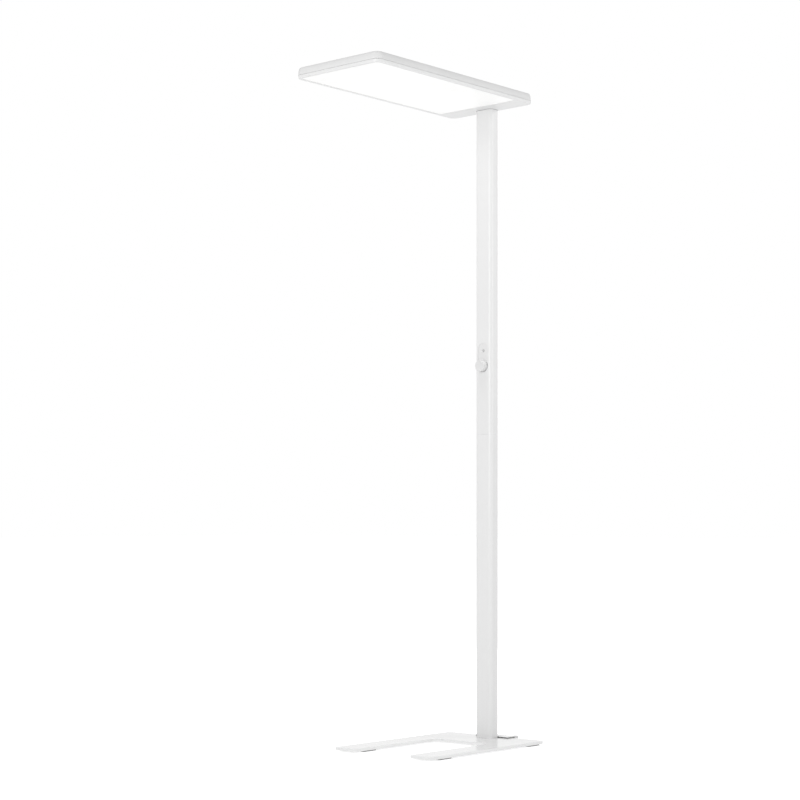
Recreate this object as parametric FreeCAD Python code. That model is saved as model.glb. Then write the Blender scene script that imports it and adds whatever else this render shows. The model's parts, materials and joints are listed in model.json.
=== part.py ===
import FreeCAD, Part
import math
import os

# An office floor lamp, in millimetres. +Z is up and the front of the lamp, with its knob, its two legs
# and its head, faces -Y. The origin is on the floor, at the middle of the lamp's bounding box.
# A reach is a distance ahead of the column's axis, so a place behind the column has a negative reach.

Vector = FreeCAD.Vector
UP = Vector(0, 0, 1)
ORIGIN = Vector(0, 0, 0)
TINY = 0.001

# ---- Drafting: how far a cutter, or a piece to be joined, runs past a face ----
past = 1.0

# ---- Whole lamp ----
total_height = 1950.0

# ---- Clearances ----
fit_clearance = 0.2
screw_clearance = 0.05
running_clearance = 0.05
rest_gap = 0.1

# ---- Base plate: a U open to the front ----
base_width = 372.0
base_front_reach = 484.0
base_rear = 46.5
base_thickness = 8.4
leg_width = 85.0
bridge_reach = 118.8
leg_end_radius = 16.0
base_rear_radius = 18.0
bridge_radius = 22.0
base_edge_bevel = 0.9

# ---- Pads under the base ----
pad_length = 60.0
pad_width = 57.0
pad_corner_radius = 8.0
pad_front_inset = 53.0
pad_rear_inset = 5.5
rubber_height = 2.6
carrier_height = 2.4
carrier_lip = 0.6

# ---- Column: two lengths of one hollow section ----
column_width = 62.0
column_depth = 40.0
column_corner_radius = 12.0
column_wall = 2.4
seam_height = 934.0
seam_gap = 1.0
seam_inset = 0.5
foot_gap = 0.8

# ---- Spigots inside the column ----
spigot_height = 90.0
coupler_length = 120.0
neck_length = 60.0
lead_well_width = 30.0
lead_well_depth = 25.0
set_screw_radius = 3.0
set_screw_length = 5.4
foot_screw_radius = 5.0
foot_screw_head = 8.0
foot_screw_head_height = 4.6
foot_screw_grip = 20.0
foot_screw_spread = 43.0

# ---- Cord entry behind the column's foot ----
entry_width = 124.0
entry_start = 21.5
entry_end = 57.0
entry_flange_depth = 9.0
entry_side_step = 4.5
entry_rim_height = 2.8
entry_cover_thickness = 1.2
entry_wall = 2.0
entry_floor = 1.4
entry_floor_lift = 0.4
entry_corner_radius = 2.0
entry_cover_chamfer = 0.3
entry_cover_tongue = 1.2
gland_length = 20.0
gland_barrel_length = 15.0
gland_radius = 5.7
gland_tip_radius = 4.6
gland_neck_radius = 3.8
gland_flange_radius = 4.5
gland_flange_thickness = 1.6
gland_height = 12.4
gland_side_step = 6.0
cord_bore_radius = 3.2
terminal_length = 24.0
terminal_depth = 14.0
terminal_height = 7.5
terminal_ways = 3
terminal_well_size = 4.0
terminal_well_depth = 2.5

# ---- Supply lead inside the lamp ----
lead_radius = 3.0
lead_clearance = 0.3
lead_bend = 9.0
lead_rise_reach = -8.0
lead_floor_height = 10.2

# ---- Control unit in the column's front ----
knob_height = 1141.5
sensor_rise = 46.5
capsule_spread = 50.5
cutout_radius = 18.5
plate_side_gap = 0.15
plate_recess = 0.3
well_depth = 3.0
plate_floor = 2.0
plate_edge_chamfer = 0.4
carrier_web = 2.4
carrier_cheek = 2.4
carrier_margin = 12.0
board_gap = 6.0
board_thickness = 1.6
board_margin = 2.0
rail_thickness = 1.6
rail_depth = 2.0
sensor_dish_radius = 6.5
sensor_dish_depth = 2.0
sensor_neck_radius = 3.5
sensor_flange_radius = 4.7
sensor_flange_thickness = 1.4
sensor_dome_height = 1.2
sensor_dome_radius = 2.2
sensor_chip_size = 8.0
sensor_chip_height = 3.0
sensor_pipe_width = 4.6

# ---- Encoder and knob ----
encoder_width = 12.4
encoder_height = 13.4
bushing_radius = 3.5
bushing_end = 21.0
nut_flats = 10.0
nut_thickness = 2.2
shaft_radius = 3.0
shaft_flat = 1.2
plunger_thickness = 1.6
push_travel = 0.8
push_slack = 0.2
knob_radius = 16.75
knob_front = 37.6
knob_back_gap = 1.7
knob_wall = 2.6
knob_front_wall = 3.2
knob_hub_gap = 1.5
knob_dish_radius = 14.6
knob_dish_floor_radius = 12.0
knob_dish_depth = 0.9
knob_edge_bevel = 0.9

# ---- Neck, between column and head ----
gasket_thickness = 1.1
gasket_overhang = 0.8
collar_thickness = 1.3
collar_foot = 1.2
collar_overhang = 7.5

# ---- Head ----
head_length = 700.0
head_width = 313.0
head_thickness = 30.0
head_rear = 27.5
head_corner_radius = 22.0
frame_height = 8.0
frame_edge_bevel = 2.2
frame_rim = 4.5
frame_lip = 1.5
frame_web = 3.5
panel_border = 11.0
panel_rear_border = 77.0
panel_corner_radius = 12.0
panel_overlap = 6.0
divider_thickness = 2.0
shadow_gap = 0.6
tongue_thickness = 1.6
tongue_height = 4.0
lug_length = 18.0
lug_depth = 0.7
lug_height = 1.2
lugs_per_side = 3
lugs_per_end = 1
shell_wall = 2.5
shell_top = 2.5
shell_edge_round = 14.0
shell_play = 0.15
diffuser_thickness = 3.0
tray_sheet = 1.5
tray_height = 14.0
tray_play = 0.5
window_border = 28.0
window_rear_border = 95.0
window_corner_radius = 14.0
window_ledge = 6.0
window_ring = 2.5
window_ledge_thickness = 2.0
cover_thickness = 3.0
cover_recess = 0.4
cover_play = 0.4
press_rib_length = 24.0
press_rib_thickness = 1.8
press_rib_inset = 15.0
press_ribs_per_side = 4

# ---- Inside the head ----
bracket_width = 92.0
bracket_depth = 56.0
bracket_reach = 6.0
bracket_thickness = 5.0
bracket_corner_radius = 6.0
bracket_screw_radius = 2.5
bracket_screw_head = 4.4
bracket_screw_head_height = 2.6
bracket_screw_inset = 8.0
bracket_screw_bite = 2.6
driver_length = 98.0
driver_depth = 36.0
driver_height = 17.0
driver_start = 50.0
driver_reach = 6.0
driver_corner_radius = 3.0
lead_top_lift = 10.5
connector_length = 26.0
connector_depth = 16.0
connector_height = 12.0
link_radius = 2.2
feed_radius = 1.8
feed_step = 78.0
board_sheet = 1.2
down_board_width = 16.0
down_board_count = 4
up_board_width = 20.0
up_board_count = 2
board_end_margin = 22.0
chip_size = 3.6
chip_height = 0.8
chip_pitch = 88.0

# ---- Heights and reaches worked out from the sizes above ----
pad_height = rubber_height + carrier_height
base_top = pad_height + base_thickness
entry_rim_top = base_top + entry_rim_height
entry_top = entry_rim_top + entry_cover_thickness
entry_bottom = pad_height + entry_floor_lift
entry_inside = entry_bottom + entry_floor
gland_end = entry_end + gland_length
gland_x = entry_width / 2 - gland_side_step
entry_body_width = entry_width - 2 * entry_side_step
entry_body_start = -entry_start - entry_flange_depth
head_front_reach = head_length - head_rear
head_bottom = total_height - head_thickness
collar_bottom = head_bottom - collar_thickness
column_top = collar_bottom - gasket_thickness
column_front = column_depth / 2
frame_top = head_bottom + frame_height
shell_bottom = frame_top + shadow_gap
web_top = head_bottom + frame_web
lip_top = head_bottom + frame_lip
diffuser_top = lip_top + diffuser_thickness
tray_top = diffuser_top + tray_height
shell_ceiling = total_height - shell_top
bracket_top = web_top + bracket_thickness
lead_top_height = web_top + lead_top_lift
terminal_rear = -entry_end + entry_wall + gland_flange_thickness + fit_clearance + rest_gap
terminal_front = terminal_rear + terminal_depth
sensor_height = knob_height + sensor_rise
plate_top_height = knob_height + capsule_spread + cutout_radius
plate_middle_height = knob_height + capsule_spread / 2
plate_face = column_front - plate_recess
well_floor = column_front - well_depth
plate_back = well_floor - plate_floor
carrier_back = plate_back - carrier_web
board_front = carrier_back - board_gap
board_back = board_front - board_thickness
carrier_room_width = column_width - 2 * (column_wall + fit_clearance + carrier_cheek)
plunger_back = board_front + push_slack + push_travel + rest_gap
plunger_front = plunger_back + plunger_thickness
knob_back = well_floor + knob_back_gap
knob_inner_front = knob_front - knob_front_wall
hub_back = bushing_end + knob_hub_gap
shaft_end = knob_inner_front - rest_gap
longest_front = max(head_front_reach, base_front_reach)
longest_rear = max(gland_end, base_rear, head_rear)
column_y = (longest_front - longest_rear) / 2
panel_rear_reach = panel_rear_border - head_rear
panel_front_reach = head_front_reach - panel_border
panel_width = head_width - 2 * panel_border
window_rear_reach = window_rear_border - head_rear
window_front_reach = head_front_reach - window_border
window_width = head_width - 2 * window_border


# ---- Shapes that many pieces share ----
def ahead(reach):
    """Give the y of a place at this reach."""
    return column_y - reach


def rounded_rectangle(size_x, size_y, radius):
    """Make a flat face about the origin, its four sides joined by quarter arcs."""
    half_x = size_x / 2
    half_y = size_y / 2
    round_off = min(radius, half_x, half_y)
    if round_off < TINY:
        corners = [Vector(half_x, half_y, 0), Vector(-half_x, half_y, 0)]
        corners += [Vector(-half_x, -half_y, 0), Vector(half_x, -half_y, 0)]
        return Part.Face(Part.makePolygon(corners + corners[:1]))
    arcs = []
    for side_x, side_y, start in ((1, 1, 0), (-1, 1, 90), (-1, -1, 180), (1, -1, 270)):
        centre = Vector(side_x * (half_x - round_off), side_y * (half_y - round_off), 0)
        points = []
        for turn in (0, 45, 90):
            angle = math.radians(start + turn)
            points.append(centre + Vector(math.cos(angle), math.sin(angle), 0) * round_off)
        arcs.append(points)
    edges = []
    for index, points in enumerate(arcs):
        edges.append(Part.Arc(*points).toShape())
        following = arcs[(index + 1) % len(arcs)][0]
        if points[2].distanceToPoint(following) > TINY:
            edges.append(Part.makeLine(points[2], following))
    return Part.Face(Part.Wire(edges))


def block(rear, front, width, low, high, radius=0.0, middle_x=0.0):
    """Make an upright block between two reaches and two heights, with round corners in plan."""
    solid = rounded_rectangle(width, front - rear, radius).extrude(UP * (high - low))
    solid.translate(Vector(middle_x, ahead((rear + front) / 2), low))
    return solid


def inset_block(rear, front, width, low, high, radius, inset):
    """Make a block whose outline lies inside the given one by the inset, or outside it if negative."""
    return block(rear + inset, front - inset, width - 2 * inset, low, high, max(radius - inset, 0.0))


def edges_at(shape, height):
    """Pick the edges that lie wholly at one height."""
    picked = []
    for edge in shape.Edges:
        if all(abs(vertex.Z - height) < TINY for vertex in edge.Vertexes):
            picked.append(edge)
    return picked


def upright_edges_at(shape, x, y):
    """Pick the upright edges that stand over one point of the plan."""
    place = Vector(x, y, 0)
    picked = []
    for edge in shape.Edges:
        if all(Vector(vertex.X, vertex.Y, 0).distanceToPoint(place) < TINY for vertex in edge.Vertexes):
            picked.append(edge)
    return picked


def turned(profile):
    """Spin a closed outline of (radius, height) points about the Z axis."""
    points = [Vector(radius, 0, height) for radius, height in profile]
    face = Part.Face(Part.makePolygon(points + points[:1]))
    return face.revolve(ORIGIN, UP, 360)


def cylinder(radius, low, high, x=0.0, y=0.0):
    """Make an upright cylinder between two heights."""
    return Part.makeCylinder(radius, high - low, Vector(x, y, low))


def hexagon(flats, low, high):
    """Make an upright hexagonal bar, measured across its flats."""
    reach = flats / math.sqrt(3)
    points = []
    for side in range(6):
        angle = math.radians(60 * side)
        points.append(Vector(reach * math.cos(angle), reach * math.sin(angle), low))
    return Part.Face(Part.makePolygon(points + points[:1])).extrude(UP * (high - low))


def cap_screw(radius, length, head_radius, head_height):
    """Make a cap screw that points down from the underside of its head, which is at height 0."""
    return turned([
        (0, head_height),
        (head_radius, head_height),
        (head_radius, 0),
        (radius, 0),
        (radius, -length),
        (0, -length),
    ])


def on_front(shape, height, x=0.0):
    """Set a shape drawn with x across, y up and z ahead on the column's axis at a height."""
    placed = shape.copy()
    placed.rotate(ORIGIN, Vector(1, 0, 0), 90)
    placed.translate(Vector(x, column_y, height))
    return placed


def on_rear(shape, height, x=0.0):
    """Set a shape drawn with z pointing backwards on the column's axis at a height."""
    placed = shape.copy()
    placed.rotate(ORIGIN, Vector(1, 0, 0), -90)
    placed.translate(Vector(x, column_y, height))
    return placed


def moved(shape, x, y, z):
    """Copy a shape to another place."""
    placed = shape.copy()
    placed.translate(Vector(x, y, z))
    return placed


def upside_down(shape):
    """Turn a shape over about the X axis."""
    placed = shape.copy()
    placed.rotate(ORIGIN, Vector(1, 0, 0), 180)
    return placed


def fused(shapes):
    """Join shapes into one solid and merge the faces that run on into each other."""
    joined = shapes[0]
    if len(shapes) > 1:
        joined = joined.multiFuse(shapes[1:])
    return joined.removeSplitter()


def tube_along(corners, bends, radius):
    """Make a round tube on straight runs between corners, each inner corner turned by a tangent arc."""
    edges = []
    start = corners[0]
    for before, corner, after, bend in zip(corners, corners[1:], corners[2:], bends):
        inward = (before - corner).normalize()
        outward = (after - corner).normalize()
        half_turn = (math.pi - inward.getAngle(outward)) / 2
        setback = bend * math.tan(half_turn)
        arc_start = corner + inward * setback
        arc_end = corner + outward * setback
        middle_way = (inward + outward).normalize()
        arc_middle = corner + middle_way * (bend / math.cos(half_turn) - bend)
        edges.append(Part.makeLine(start, arc_start))
        edges.append(Part.Arc(arc_start, arc_middle, arc_end).toShape())
        start = arc_end
    edges.append(Part.makeLine(start, corners[-1]))
    section = Part.Wire(Part.makeCircle(radius, corners[0], corners[1] - corners[0]))
    return Part.Wire(edges).makePipeShell([section], True, False)


# ---- Base ----
def foot_screw_places():
    """Give the x of each of the column's foot screws."""
    return [side * foot_screw_spread / 2 for side in (-1, 1)]


def pad_places():
    """Give the middle of each pad as (x, reach): two under the legs' ends and two at the rear."""
    pad_x = (base_width - leg_width) / 2
    front = base_front_reach - pad_front_inset - pad_length / 2
    rear = -base_rear + pad_rear_inset + pad_length / 2
    return [(side * pad_x, reach) for side in (-1, 1) for reach in (front, rear)]


def make_base_plate():
    """Make the steel U with round corners, its cord groove and its screw holes."""
    outer = base_width / 2
    inner = outer - leg_width
    rear_y = ahead(-base_rear)
    bridge_y = ahead(bridge_reach)
    front_y = ahead(base_front_reach)
    plan = [(-outer, rear_y), (outer, rear_y), (outer, front_y), (inner, front_y)]
    plan += [(inner, bridge_y), (-inner, bridge_y), (-inner, front_y), (-outer, front_y)]
    points = [Vector(x, y, pad_height) for x, y in plan]
    plate = Part.Face(Part.makePolygon(points + points[:1])).extrude(UP * base_thickness)
    radii = [base_rear_radius] * 2 + [leg_end_radius] * 2 + [bridge_radius] * 2 + [leg_end_radius] * 2
    for (x, y), radius in zip(plan, radii):
        plate = plate.makeFillet(radius, upright_edges_at(plate, x, y))
    rim = edges_at(plate, base_top) + edges_at(plate, pad_height)
    plate = plate.makeChamfer(base_edge_bevel, rim)
    cut_front = entry_body_start + fit_clearance
    cut_width = entry_body_width + 2 * fit_clearance
    cutters = [block(-entry_end, cut_front, cut_width, entry_bottom - base_thickness, base_top + past)]
    groove_width = 2 * (lead_radius + lead_clearance)
    groove_front = lead_rise_reach + lead_radius + 2 * lead_clearance
    groove_floor = lead_floor_height - lead_radius - lead_clearance
    cutters.append(block(cut_front - past, groove_front, groove_width, groove_floor, base_top + past))
    shank_hole = cylinder(foot_screw_radius + screw_clearance, pad_height, base_top + past)
    head_hole = cylinder(
        foot_screw_head + fit_clearance, pad_height - past, pad_height + foot_screw_head_height)
    for x in foot_screw_places():
        cutters += [moved(hole, x, column_y, 0) for hole in (shank_hole, head_hole)]
    return plate.cut(cutters)


def make_rubber_pads():
    """Make the four rubber soles."""
    pads = []
    for x, reach in pad_places():
        rear = reach - pad_length / 2 + carrier_lip
        front = reach + pad_length / 2 - carrier_lip
        width = pad_width - 2 * carrier_lip
        pads.append(block(rear, front, width, 0, rubber_height, pad_corner_radius - carrier_lip, x))
    return pads


def make_pad_carriers():
    """Make the light plates, bonded under the base, that hold the soles."""
    carriers = []
    for x, reach in pad_places():
        rear = reach - pad_length / 2
        front = reach + pad_length / 2
        carriers.append(block(rear, front, pad_width, rubber_height, pad_height, pad_corner_radius, x))
    return carriers


# ---- Column ----
def column_profile(low, high, inset):
    """Make a length of the column's outer profile, drawn in by the inset."""
    return inset_block(
        -column_front, column_front, column_width, low, high, column_corner_radius, inset)


def inner_profile(low, high):
    """Make a length of bar that slides into the column."""
    return column_profile(low, high, column_wall + fit_clearance)


def lead_well(low, high):
    """Make the cutter for the hollow that the supply lead climbs through."""
    return block(-lead_well_depth / 2, lead_well_depth / 2, lead_well_width, low, high)


def foot_set_height():
    """Give the height of the set screws at the foot."""
    return base_top + spigot_height / 2


def neck_set_height():
    """Give the height of the set screws at the neck."""
    return column_top - neck_length / 2


def set_screw_heights():
    """Give the height of each set screw in the column's rear, from the foot to the neck."""
    return [foot_set_height(), seam_height - coupler_length / 4,
            seam_height + coupler_length / 4, neck_set_height()]


def set_screw(play):
    """Draw a headless set screw, or the cutter for its hole, just inside the rear of the column."""
    return cylinder(set_screw_radius + play, column_front - set_screw_length - play, column_front)


def with_set_screw_holes(shape):
    """Cut the rear set screws' holes where they meet a shape."""
    low = shape.BoundBox.ZMin
    high = shape.BoundBox.ZMax
    hole = set_screw(screw_clearance)
    return shape.cut([on_rear(hole, height) for height in set_screw_heights() if low < height < high])


def make_column_screws():
    """Make the rear set screws of foot, seam and neck."""
    return [on_rear(set_screw(0), height) for height in set_screw_heights()]


def make_foot_spigot():
    """Make the block that stands on the base plate inside the column's foot."""
    spigot = fused([
        inner_profile(base_top, base_top + spigot_height),
        column_profile(base_top, base_top + foot_gap, seam_inset),
    ])
    notch_width = 2 * (lead_radius + lead_clearance)
    notch_top = lead_floor_height + lead_bend
    cutters = [
        lead_well(base_top - past, base_top + spigot_height + past),
        block(-column_front, 0, notch_width, base_top - past, notch_top),
    ]
    hole = cylinder(
        foot_screw_radius + screw_clearance, base_top - past, base_top + foot_screw_grip + past)
    cutters += [moved(hole, x, column_y, 0) for x in foot_screw_places()]
    return with_set_screw_holes(spigot.cut(cutters))


def make_foot_screws():
    """Make the two screws that come up through the base plate into the spigot."""
    length = base_thickness - foot_screw_head_height + foot_screw_grip
    head_height = foot_screw_head_height - screw_clearance
    screw = upside_down(cap_screw(foot_screw_radius, length, foot_screw_head, head_height))
    return [moved(screw, x, column_y, pad_height + foot_screw_head_height) for x in foot_screw_places()]


def make_lower_column():
    """Make the column's lower length."""
    low = base_top + foot_gap
    high = seam_height - seam_gap / 2
    tube = column_profile(low, high, 0).cut(column_profile(low - past, high + past, column_wall))
    return with_set_screw_holes(tube)


def make_column_coupler():
    """Make the hollow bar that joins the two lengths, with the thin ring seen at the seam."""
    low = seam_height - coupler_length / 2
    high = seam_height + coupler_length / 2
    bar = fused([
        inner_profile(low, high),
        column_profile(seam_height - seam_gap / 2, seam_height + seam_gap / 2, seam_inset),
    ])
    return with_set_screw_holes(bar.cut(lead_well(low - past, high + past)))


def capsule_bar(radius, back, front):
    """Draw the control unit's capsule outline as a bar with x across, y up and z ahead."""
    bar = rounded_rectangle(2 * radius, capsule_spread + 2 * radius, radius)
    return moved(bar.extrude(UP * (front - back)), 0, 0, back)


def capsule(radius, back, front):
    """Set the capsule bar in its place in the column's front."""
    return on_front(capsule_bar(radius, back, front), plate_middle_height)


def make_upper_column():
    """Make the column's upper length with the cut-out for the control unit."""
    low = seam_height + seam_gap / 2
    tube = column_profile(low, column_top, 0)
    tube = tube.cut(column_profile(low - past, column_top + past, column_wall))
    tube = tube.cut(capsule(cutout_radius, column_front - column_wall - past, column_front + past))
    return with_set_screw_holes(tube)


# ---- Cord entry ----
def make_cord_entry_box():
    """Make the black box let into the base plate's rear edge, open at the top."""
    plate_rear = -base_rear - fit_clearance
    outside = fused([
        block(-entry_end, -entry_start, entry_width, base_top, entry_rim_top, entry_corner_radius),
        block(-entry_end, entry_body_start, entry_body_width, entry_bottom, base_top),
        block(-entry_end, plate_rear, entry_width, entry_bottom, base_top, entry_corner_radius),
    ])
    inner_rear = -entry_end + entry_wall
    wide_room = entry_width - 2 * entry_wall
    room = fused([
        block(inner_rear, entry_body_start - entry_wall, entry_body_width - 2 * entry_wall,
              entry_inside, entry_rim_top + past),
        block(inner_rear, plate_rear - entry_wall, wide_room, entry_inside, entry_rim_top + past),
    ])
    lead_hole = cylinder(
        lead_radius + lead_clearance, entry_body_start - entry_wall - past, entry_body_start + past)
    cutters = [room, on_front(lead_hole, lead_floor_height)]
    slot_width = 2 * (gland_neck_radius + screw_clearance)
    slot = cylinder(gland_neck_radius + screw_clearance, -entry_end - past, inner_rear + past)
    cutters.append(on_front(slot, gland_height, gland_x))
    cutters.append(block(
        -entry_end - past, inner_rear + past, slot_width,
        gland_height, entry_rim_top + past, 0, gland_x))
    return outside.cut(cutters)


def make_cord_entry_cover():
    """Make the white lid of the cord entry box, with a tongue that snaps into the box."""
    lid = block(-entry_end, -entry_start, entry_width, entry_rim_top, entry_top, entry_corner_radius)
    lid = lid.makeChamfer(entry_cover_chamfer, edges_at(lid, entry_top))
    tongue_width = entry_body_width - 2 * (entry_wall + fit_clearance)
    tongue_front = entry_body_start - entry_wall - fit_clearance
    tongue = block(
        terminal_rear, tongue_front, tongue_width, entry_rim_top - entry_cover_tongue, entry_rim_top)
    return fused([lid, tongue])


def make_cord_gland():
    """Make the grey cord gland: a flange trimmed to the box, a neck in its slot and a tapered boot."""
    wall_inside = entry_end - entry_wall
    flange = cylinder(gland_flange_radius, wall_inside - gland_flange_thickness, wall_inside)
    room_width = entry_width - 2 * (entry_wall + rest_gap)
    room = block(-wall_inside, -entry_start, room_width, entry_inside, entry_rim_top)
    flange = on_rear(flange, gland_height, gland_x).common(room)
    boot = turned([
        (0, wall_inside),
        (gland_neck_radius, wall_inside),
        (gland_neck_radius, entry_end),
        (gland_radius, entry_end),
        (gland_radius, entry_end + gland_barrel_length),
        (gland_tip_radius, gland_end),
        (0, gland_end),
    ])
    bore = cylinder(cord_bore_radius, wall_inside - gland_flange_thickness - past, gland_end + past)
    gland = fused([flange, on_rear(boot, gland_height, gland_x)])
    return gland.cut(on_rear(bore, gland_height, gland_x))


def make_terminal_block():
    """Make the terminal block in the cord entry box, with a row of screw wells."""
    high = entry_inside + terminal_height
    body = block(terminal_rear, terminal_front, terminal_length, entry_inside, high)
    middle = (terminal_rear + terminal_front) / 2
    half = terminal_well_size / 2
    wells = []
    for way in range(terminal_ways):
        x = terminal_length * ((way + 0.5) / terminal_ways - 0.5)
        wells.append(block(
            middle - half, middle + half, terminal_well_size, high - terminal_well_depth, high + past, 0, x))
    return body.cut(wells)


def make_supply_lead():
    """Make the lead from the terminal block through base and column up to the connector in the head."""
    corners = [
        Vector(0, ahead(terminal_front), lead_floor_height),
        Vector(0, ahead(lead_rise_reach), lead_floor_height),
        Vector(0, ahead(lead_rise_reach), bracket_top),
    ]
    return tube_along(corners, [lead_bend], lead_radius)


# ---- Control unit ----
def board_low():
    """Give the height of the control board's lower end."""
    return knob_height - cutout_radius + board_margin


def board_high():
    """Give the height of the control board's upper end."""
    return plate_top_height - board_margin


def make_control_carrier():
    """Make the moulded carrier inside the column: a web behind the front wall, cheeks and board rails."""
    low = knob_height - cutout_radius - carrier_margin
    high = plate_top_height + carrier_margin
    room = block(-column_front, carrier_back, carrier_room_width, low - past, high + past)
    pieces = [inner_profile(low, high).cut(room)]
    for side in (-1, 1):
        x = side * (carrier_room_width - rail_depth) / 2
        for back in (board_back - rail_thickness, board_front):
            pieces.append(block(back, back + rail_thickness, rail_depth, board_low(), board_high(), 0, x))
    bushing_hole = cylinder(bushing_radius + fit_clearance, carrier_back - past, column_front)
    sensor_hole = cylinder(sensor_flange_radius + fit_clearance, carrier_back - past, column_front)
    cutters = [
        capsule(cutout_radius + plate_side_gap, plate_back, column_front),
        on_front(bushing_hole, knob_height),
        on_front(sensor_hole, sensor_height),
    ]
    return fused(pieces).cut(cutters)


def make_control_plate():
    """Make the capsule plate: a raised field with the sensor's dish above the sunk well of the knob."""
    radius = cutout_radius - plate_side_gap
    knob_drop = knob_height - plate_middle_height
    sensor_step = sensor_height - plate_middle_height
    well = moved(cylinder(cutout_radius, well_floor, column_front), 0, knob_drop, 0)
    plate = fused([capsule_bar(radius, plate_back, plate_face).cut(well),
                   capsule_bar(radius, plate_back, well_floor)])
    plate = plate.makeChamfer(plate_edge_chamfer, edges_at(plate, plate_face))
    dish = turned([
        (0, plate_face - sensor_dish_depth),
        (sensor_neck_radius, plate_face - sensor_dish_depth),
        (sensor_dish_radius, plate_face),
        (sensor_dish_radius, plate_face + past),
        (0, plate_face + past),
    ])
    neck = cylinder(sensor_neck_radius + fit_clearance, plate_back - past, plate_face)
    bushing_hole = cylinder(bushing_radius + fit_clearance, plate_back - past, well_floor + past)
    cutters = [moved(cutter, 0, sensor_step, 0) for cutter in (dish, neck)]
    cutters.append(moved(bushing_hole, 0, knob_drop, 0))
    return on_front(plate.cut(cutters), plate_middle_height)


def make_sensor_lens():
    """Make the raised lens of the light and presence sensor, held by a flange behind the plate."""
    flange_back = plate_back - sensor_flange_thickness
    neck_top = plate_face - sensor_dish_depth
    lens = turned([
        (0, flange_back),
        (sensor_flange_radius, flange_back),
        (sensor_flange_radius, plate_back),
        (sensor_neck_radius, plate_back),
        (sensor_neck_radius, neck_top),
        (sensor_dome_radius, neck_top + sensor_dome_height),
        (0, neck_top + sensor_dome_height),
    ])
    return on_front(lens, sensor_height)


def make_sensor_module():
    """Make the sensor on the board and the light pipe that reaches its lens."""
    half = sensor_chip_size / 2
    chip = Part.makeBox(
        sensor_chip_size, sensor_chip_size, sensor_chip_height, Vector(-half, -half, board_front))
    pipe_end = plate_back - sensor_flange_thickness
    pipe = rounded_rectangle(sensor_pipe_width, sensor_pipe_width, 0)
    pipe = pipe.extrude(UP * (pipe_end - board_front))
    return on_front(fused([chip, moved(pipe, 0, 0, board_front)]), sensor_height)


def make_control_board():
    """Make the circuit board that slides between the carrier's rails."""
    width = carrier_room_width - 2 * fit_clearance
    return block(board_back, board_front, width, board_low(), board_high())


def make_encoder_body():
    """Make the encoder's housing on the board with its threaded bushing and its bore."""
    depth = carrier_back - rest_gap - board_front
    body = rounded_rectangle(encoder_width, encoder_height, 0).extrude(UP * depth)
    bushing = cylinder(bushing_radius, board_front + past, bushing_end)
    bore = cylinder(shaft_radius + running_clearance, board_front + push_slack, bushing_end + past)
    return on_front(fused([moved(body, 0, 0, board_front), bushing]).cut(bore), knob_height)


def make_encoder_nut():
    """Make the nut that clamps the encoder's bushing to the plate."""
    front = well_floor + nut_thickness
    hole = cylinder(bushing_radius + screw_clearance, well_floor - past, front + past)
    return on_front(hexagon(nut_flats, well_floor, front).cut(hole), knob_height)


def make_switch_plunger():
    """Make the plunger that slides in the encoder's bore when the knob is pressed."""
    return on_front(cylinder(shaft_radius, plunger_back, plunger_front), knob_height)


def shaft_bar(radius, low, high, flat_from):
    """Make a shaft with a flat on one side beyond a given height."""
    flat_side = radius - shaft_flat
    corner = Vector(-radius, flat_side, flat_from)
    flat = Part.makeBox(2 * radius, shaft_flat + past, high - flat_from + past, corner)
    return cylinder(radius, low, high).cut(flat)


def make_knob_shaft():
    """Make the turning shaft, flattened where the knob's hub grips it."""
    shaft = shaft_bar(shaft_radius, plunger_front + rest_gap, shaft_end, hub_back)
    return on_front(shaft, knob_height)


def make_knob():
    """Make the knob: a turned body with a dished front, bevelled edge and a room for the bushing."""
    dish_floor = knob_front - knob_dish_depth
    room_radius = knob_radius - knob_wall
    knob = turned([
        (0, hub_back),
        (room_radius, hub_back),
        (room_radius, knob_back),
        (knob_radius, knob_back),
        (knob_radius, knob_front - knob_edge_bevel),
        (knob_radius - knob_edge_bevel, knob_front),
        (knob_dish_radius, knob_front),
        (knob_dish_floor_radius, dish_floor),
        (0, dish_floor),
    ])
    bore_start = hub_back - past
    bore = shaft_bar(shaft_radius + screw_clearance, bore_start, shaft_end + rest_gap, bore_start)
    return on_front(knob.cut(bore), knob_height)


# ---- Neck ----
def make_neck_gasket():
    """Make the dark gasket on top of the column."""
    ring = column_profile(column_top, collar_bottom, -gasket_overhang)
    return ring.cut(inner_profile(column_top - past, collar_bottom + past))


def make_neck_collar():
    """Make the low collar under the head: a frustum that spreads upwards round the neck."""
    wires = []
    for height, overhang in ((collar_bottom, collar_foot), (head_bottom, collar_overhang)):
        size_x = column_width + 2 * overhang
        size_y = column_depth + 2 * overhang
        face = rounded_rectangle(size_x, size_y, column_corner_radius + overhang)
        wires.append(moved(face, 0, column_y, height).OuterWire)
    collar = Part.makeLoft(wires, True, True)
    return collar.cut(inner_profile(collar_bottom - past, head_bottom + past))


def bracket_screw_places():
    """Give the four places of the bracket's screws in plan."""
    x = bracket_width / 2 - bracket_screw_inset
    step = bracket_depth / 2 - bracket_screw_inset
    return [(side * x, ahead(bracket_reach + end * step)) for side in (-1, 1) for end in (-1, 1)]


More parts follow.
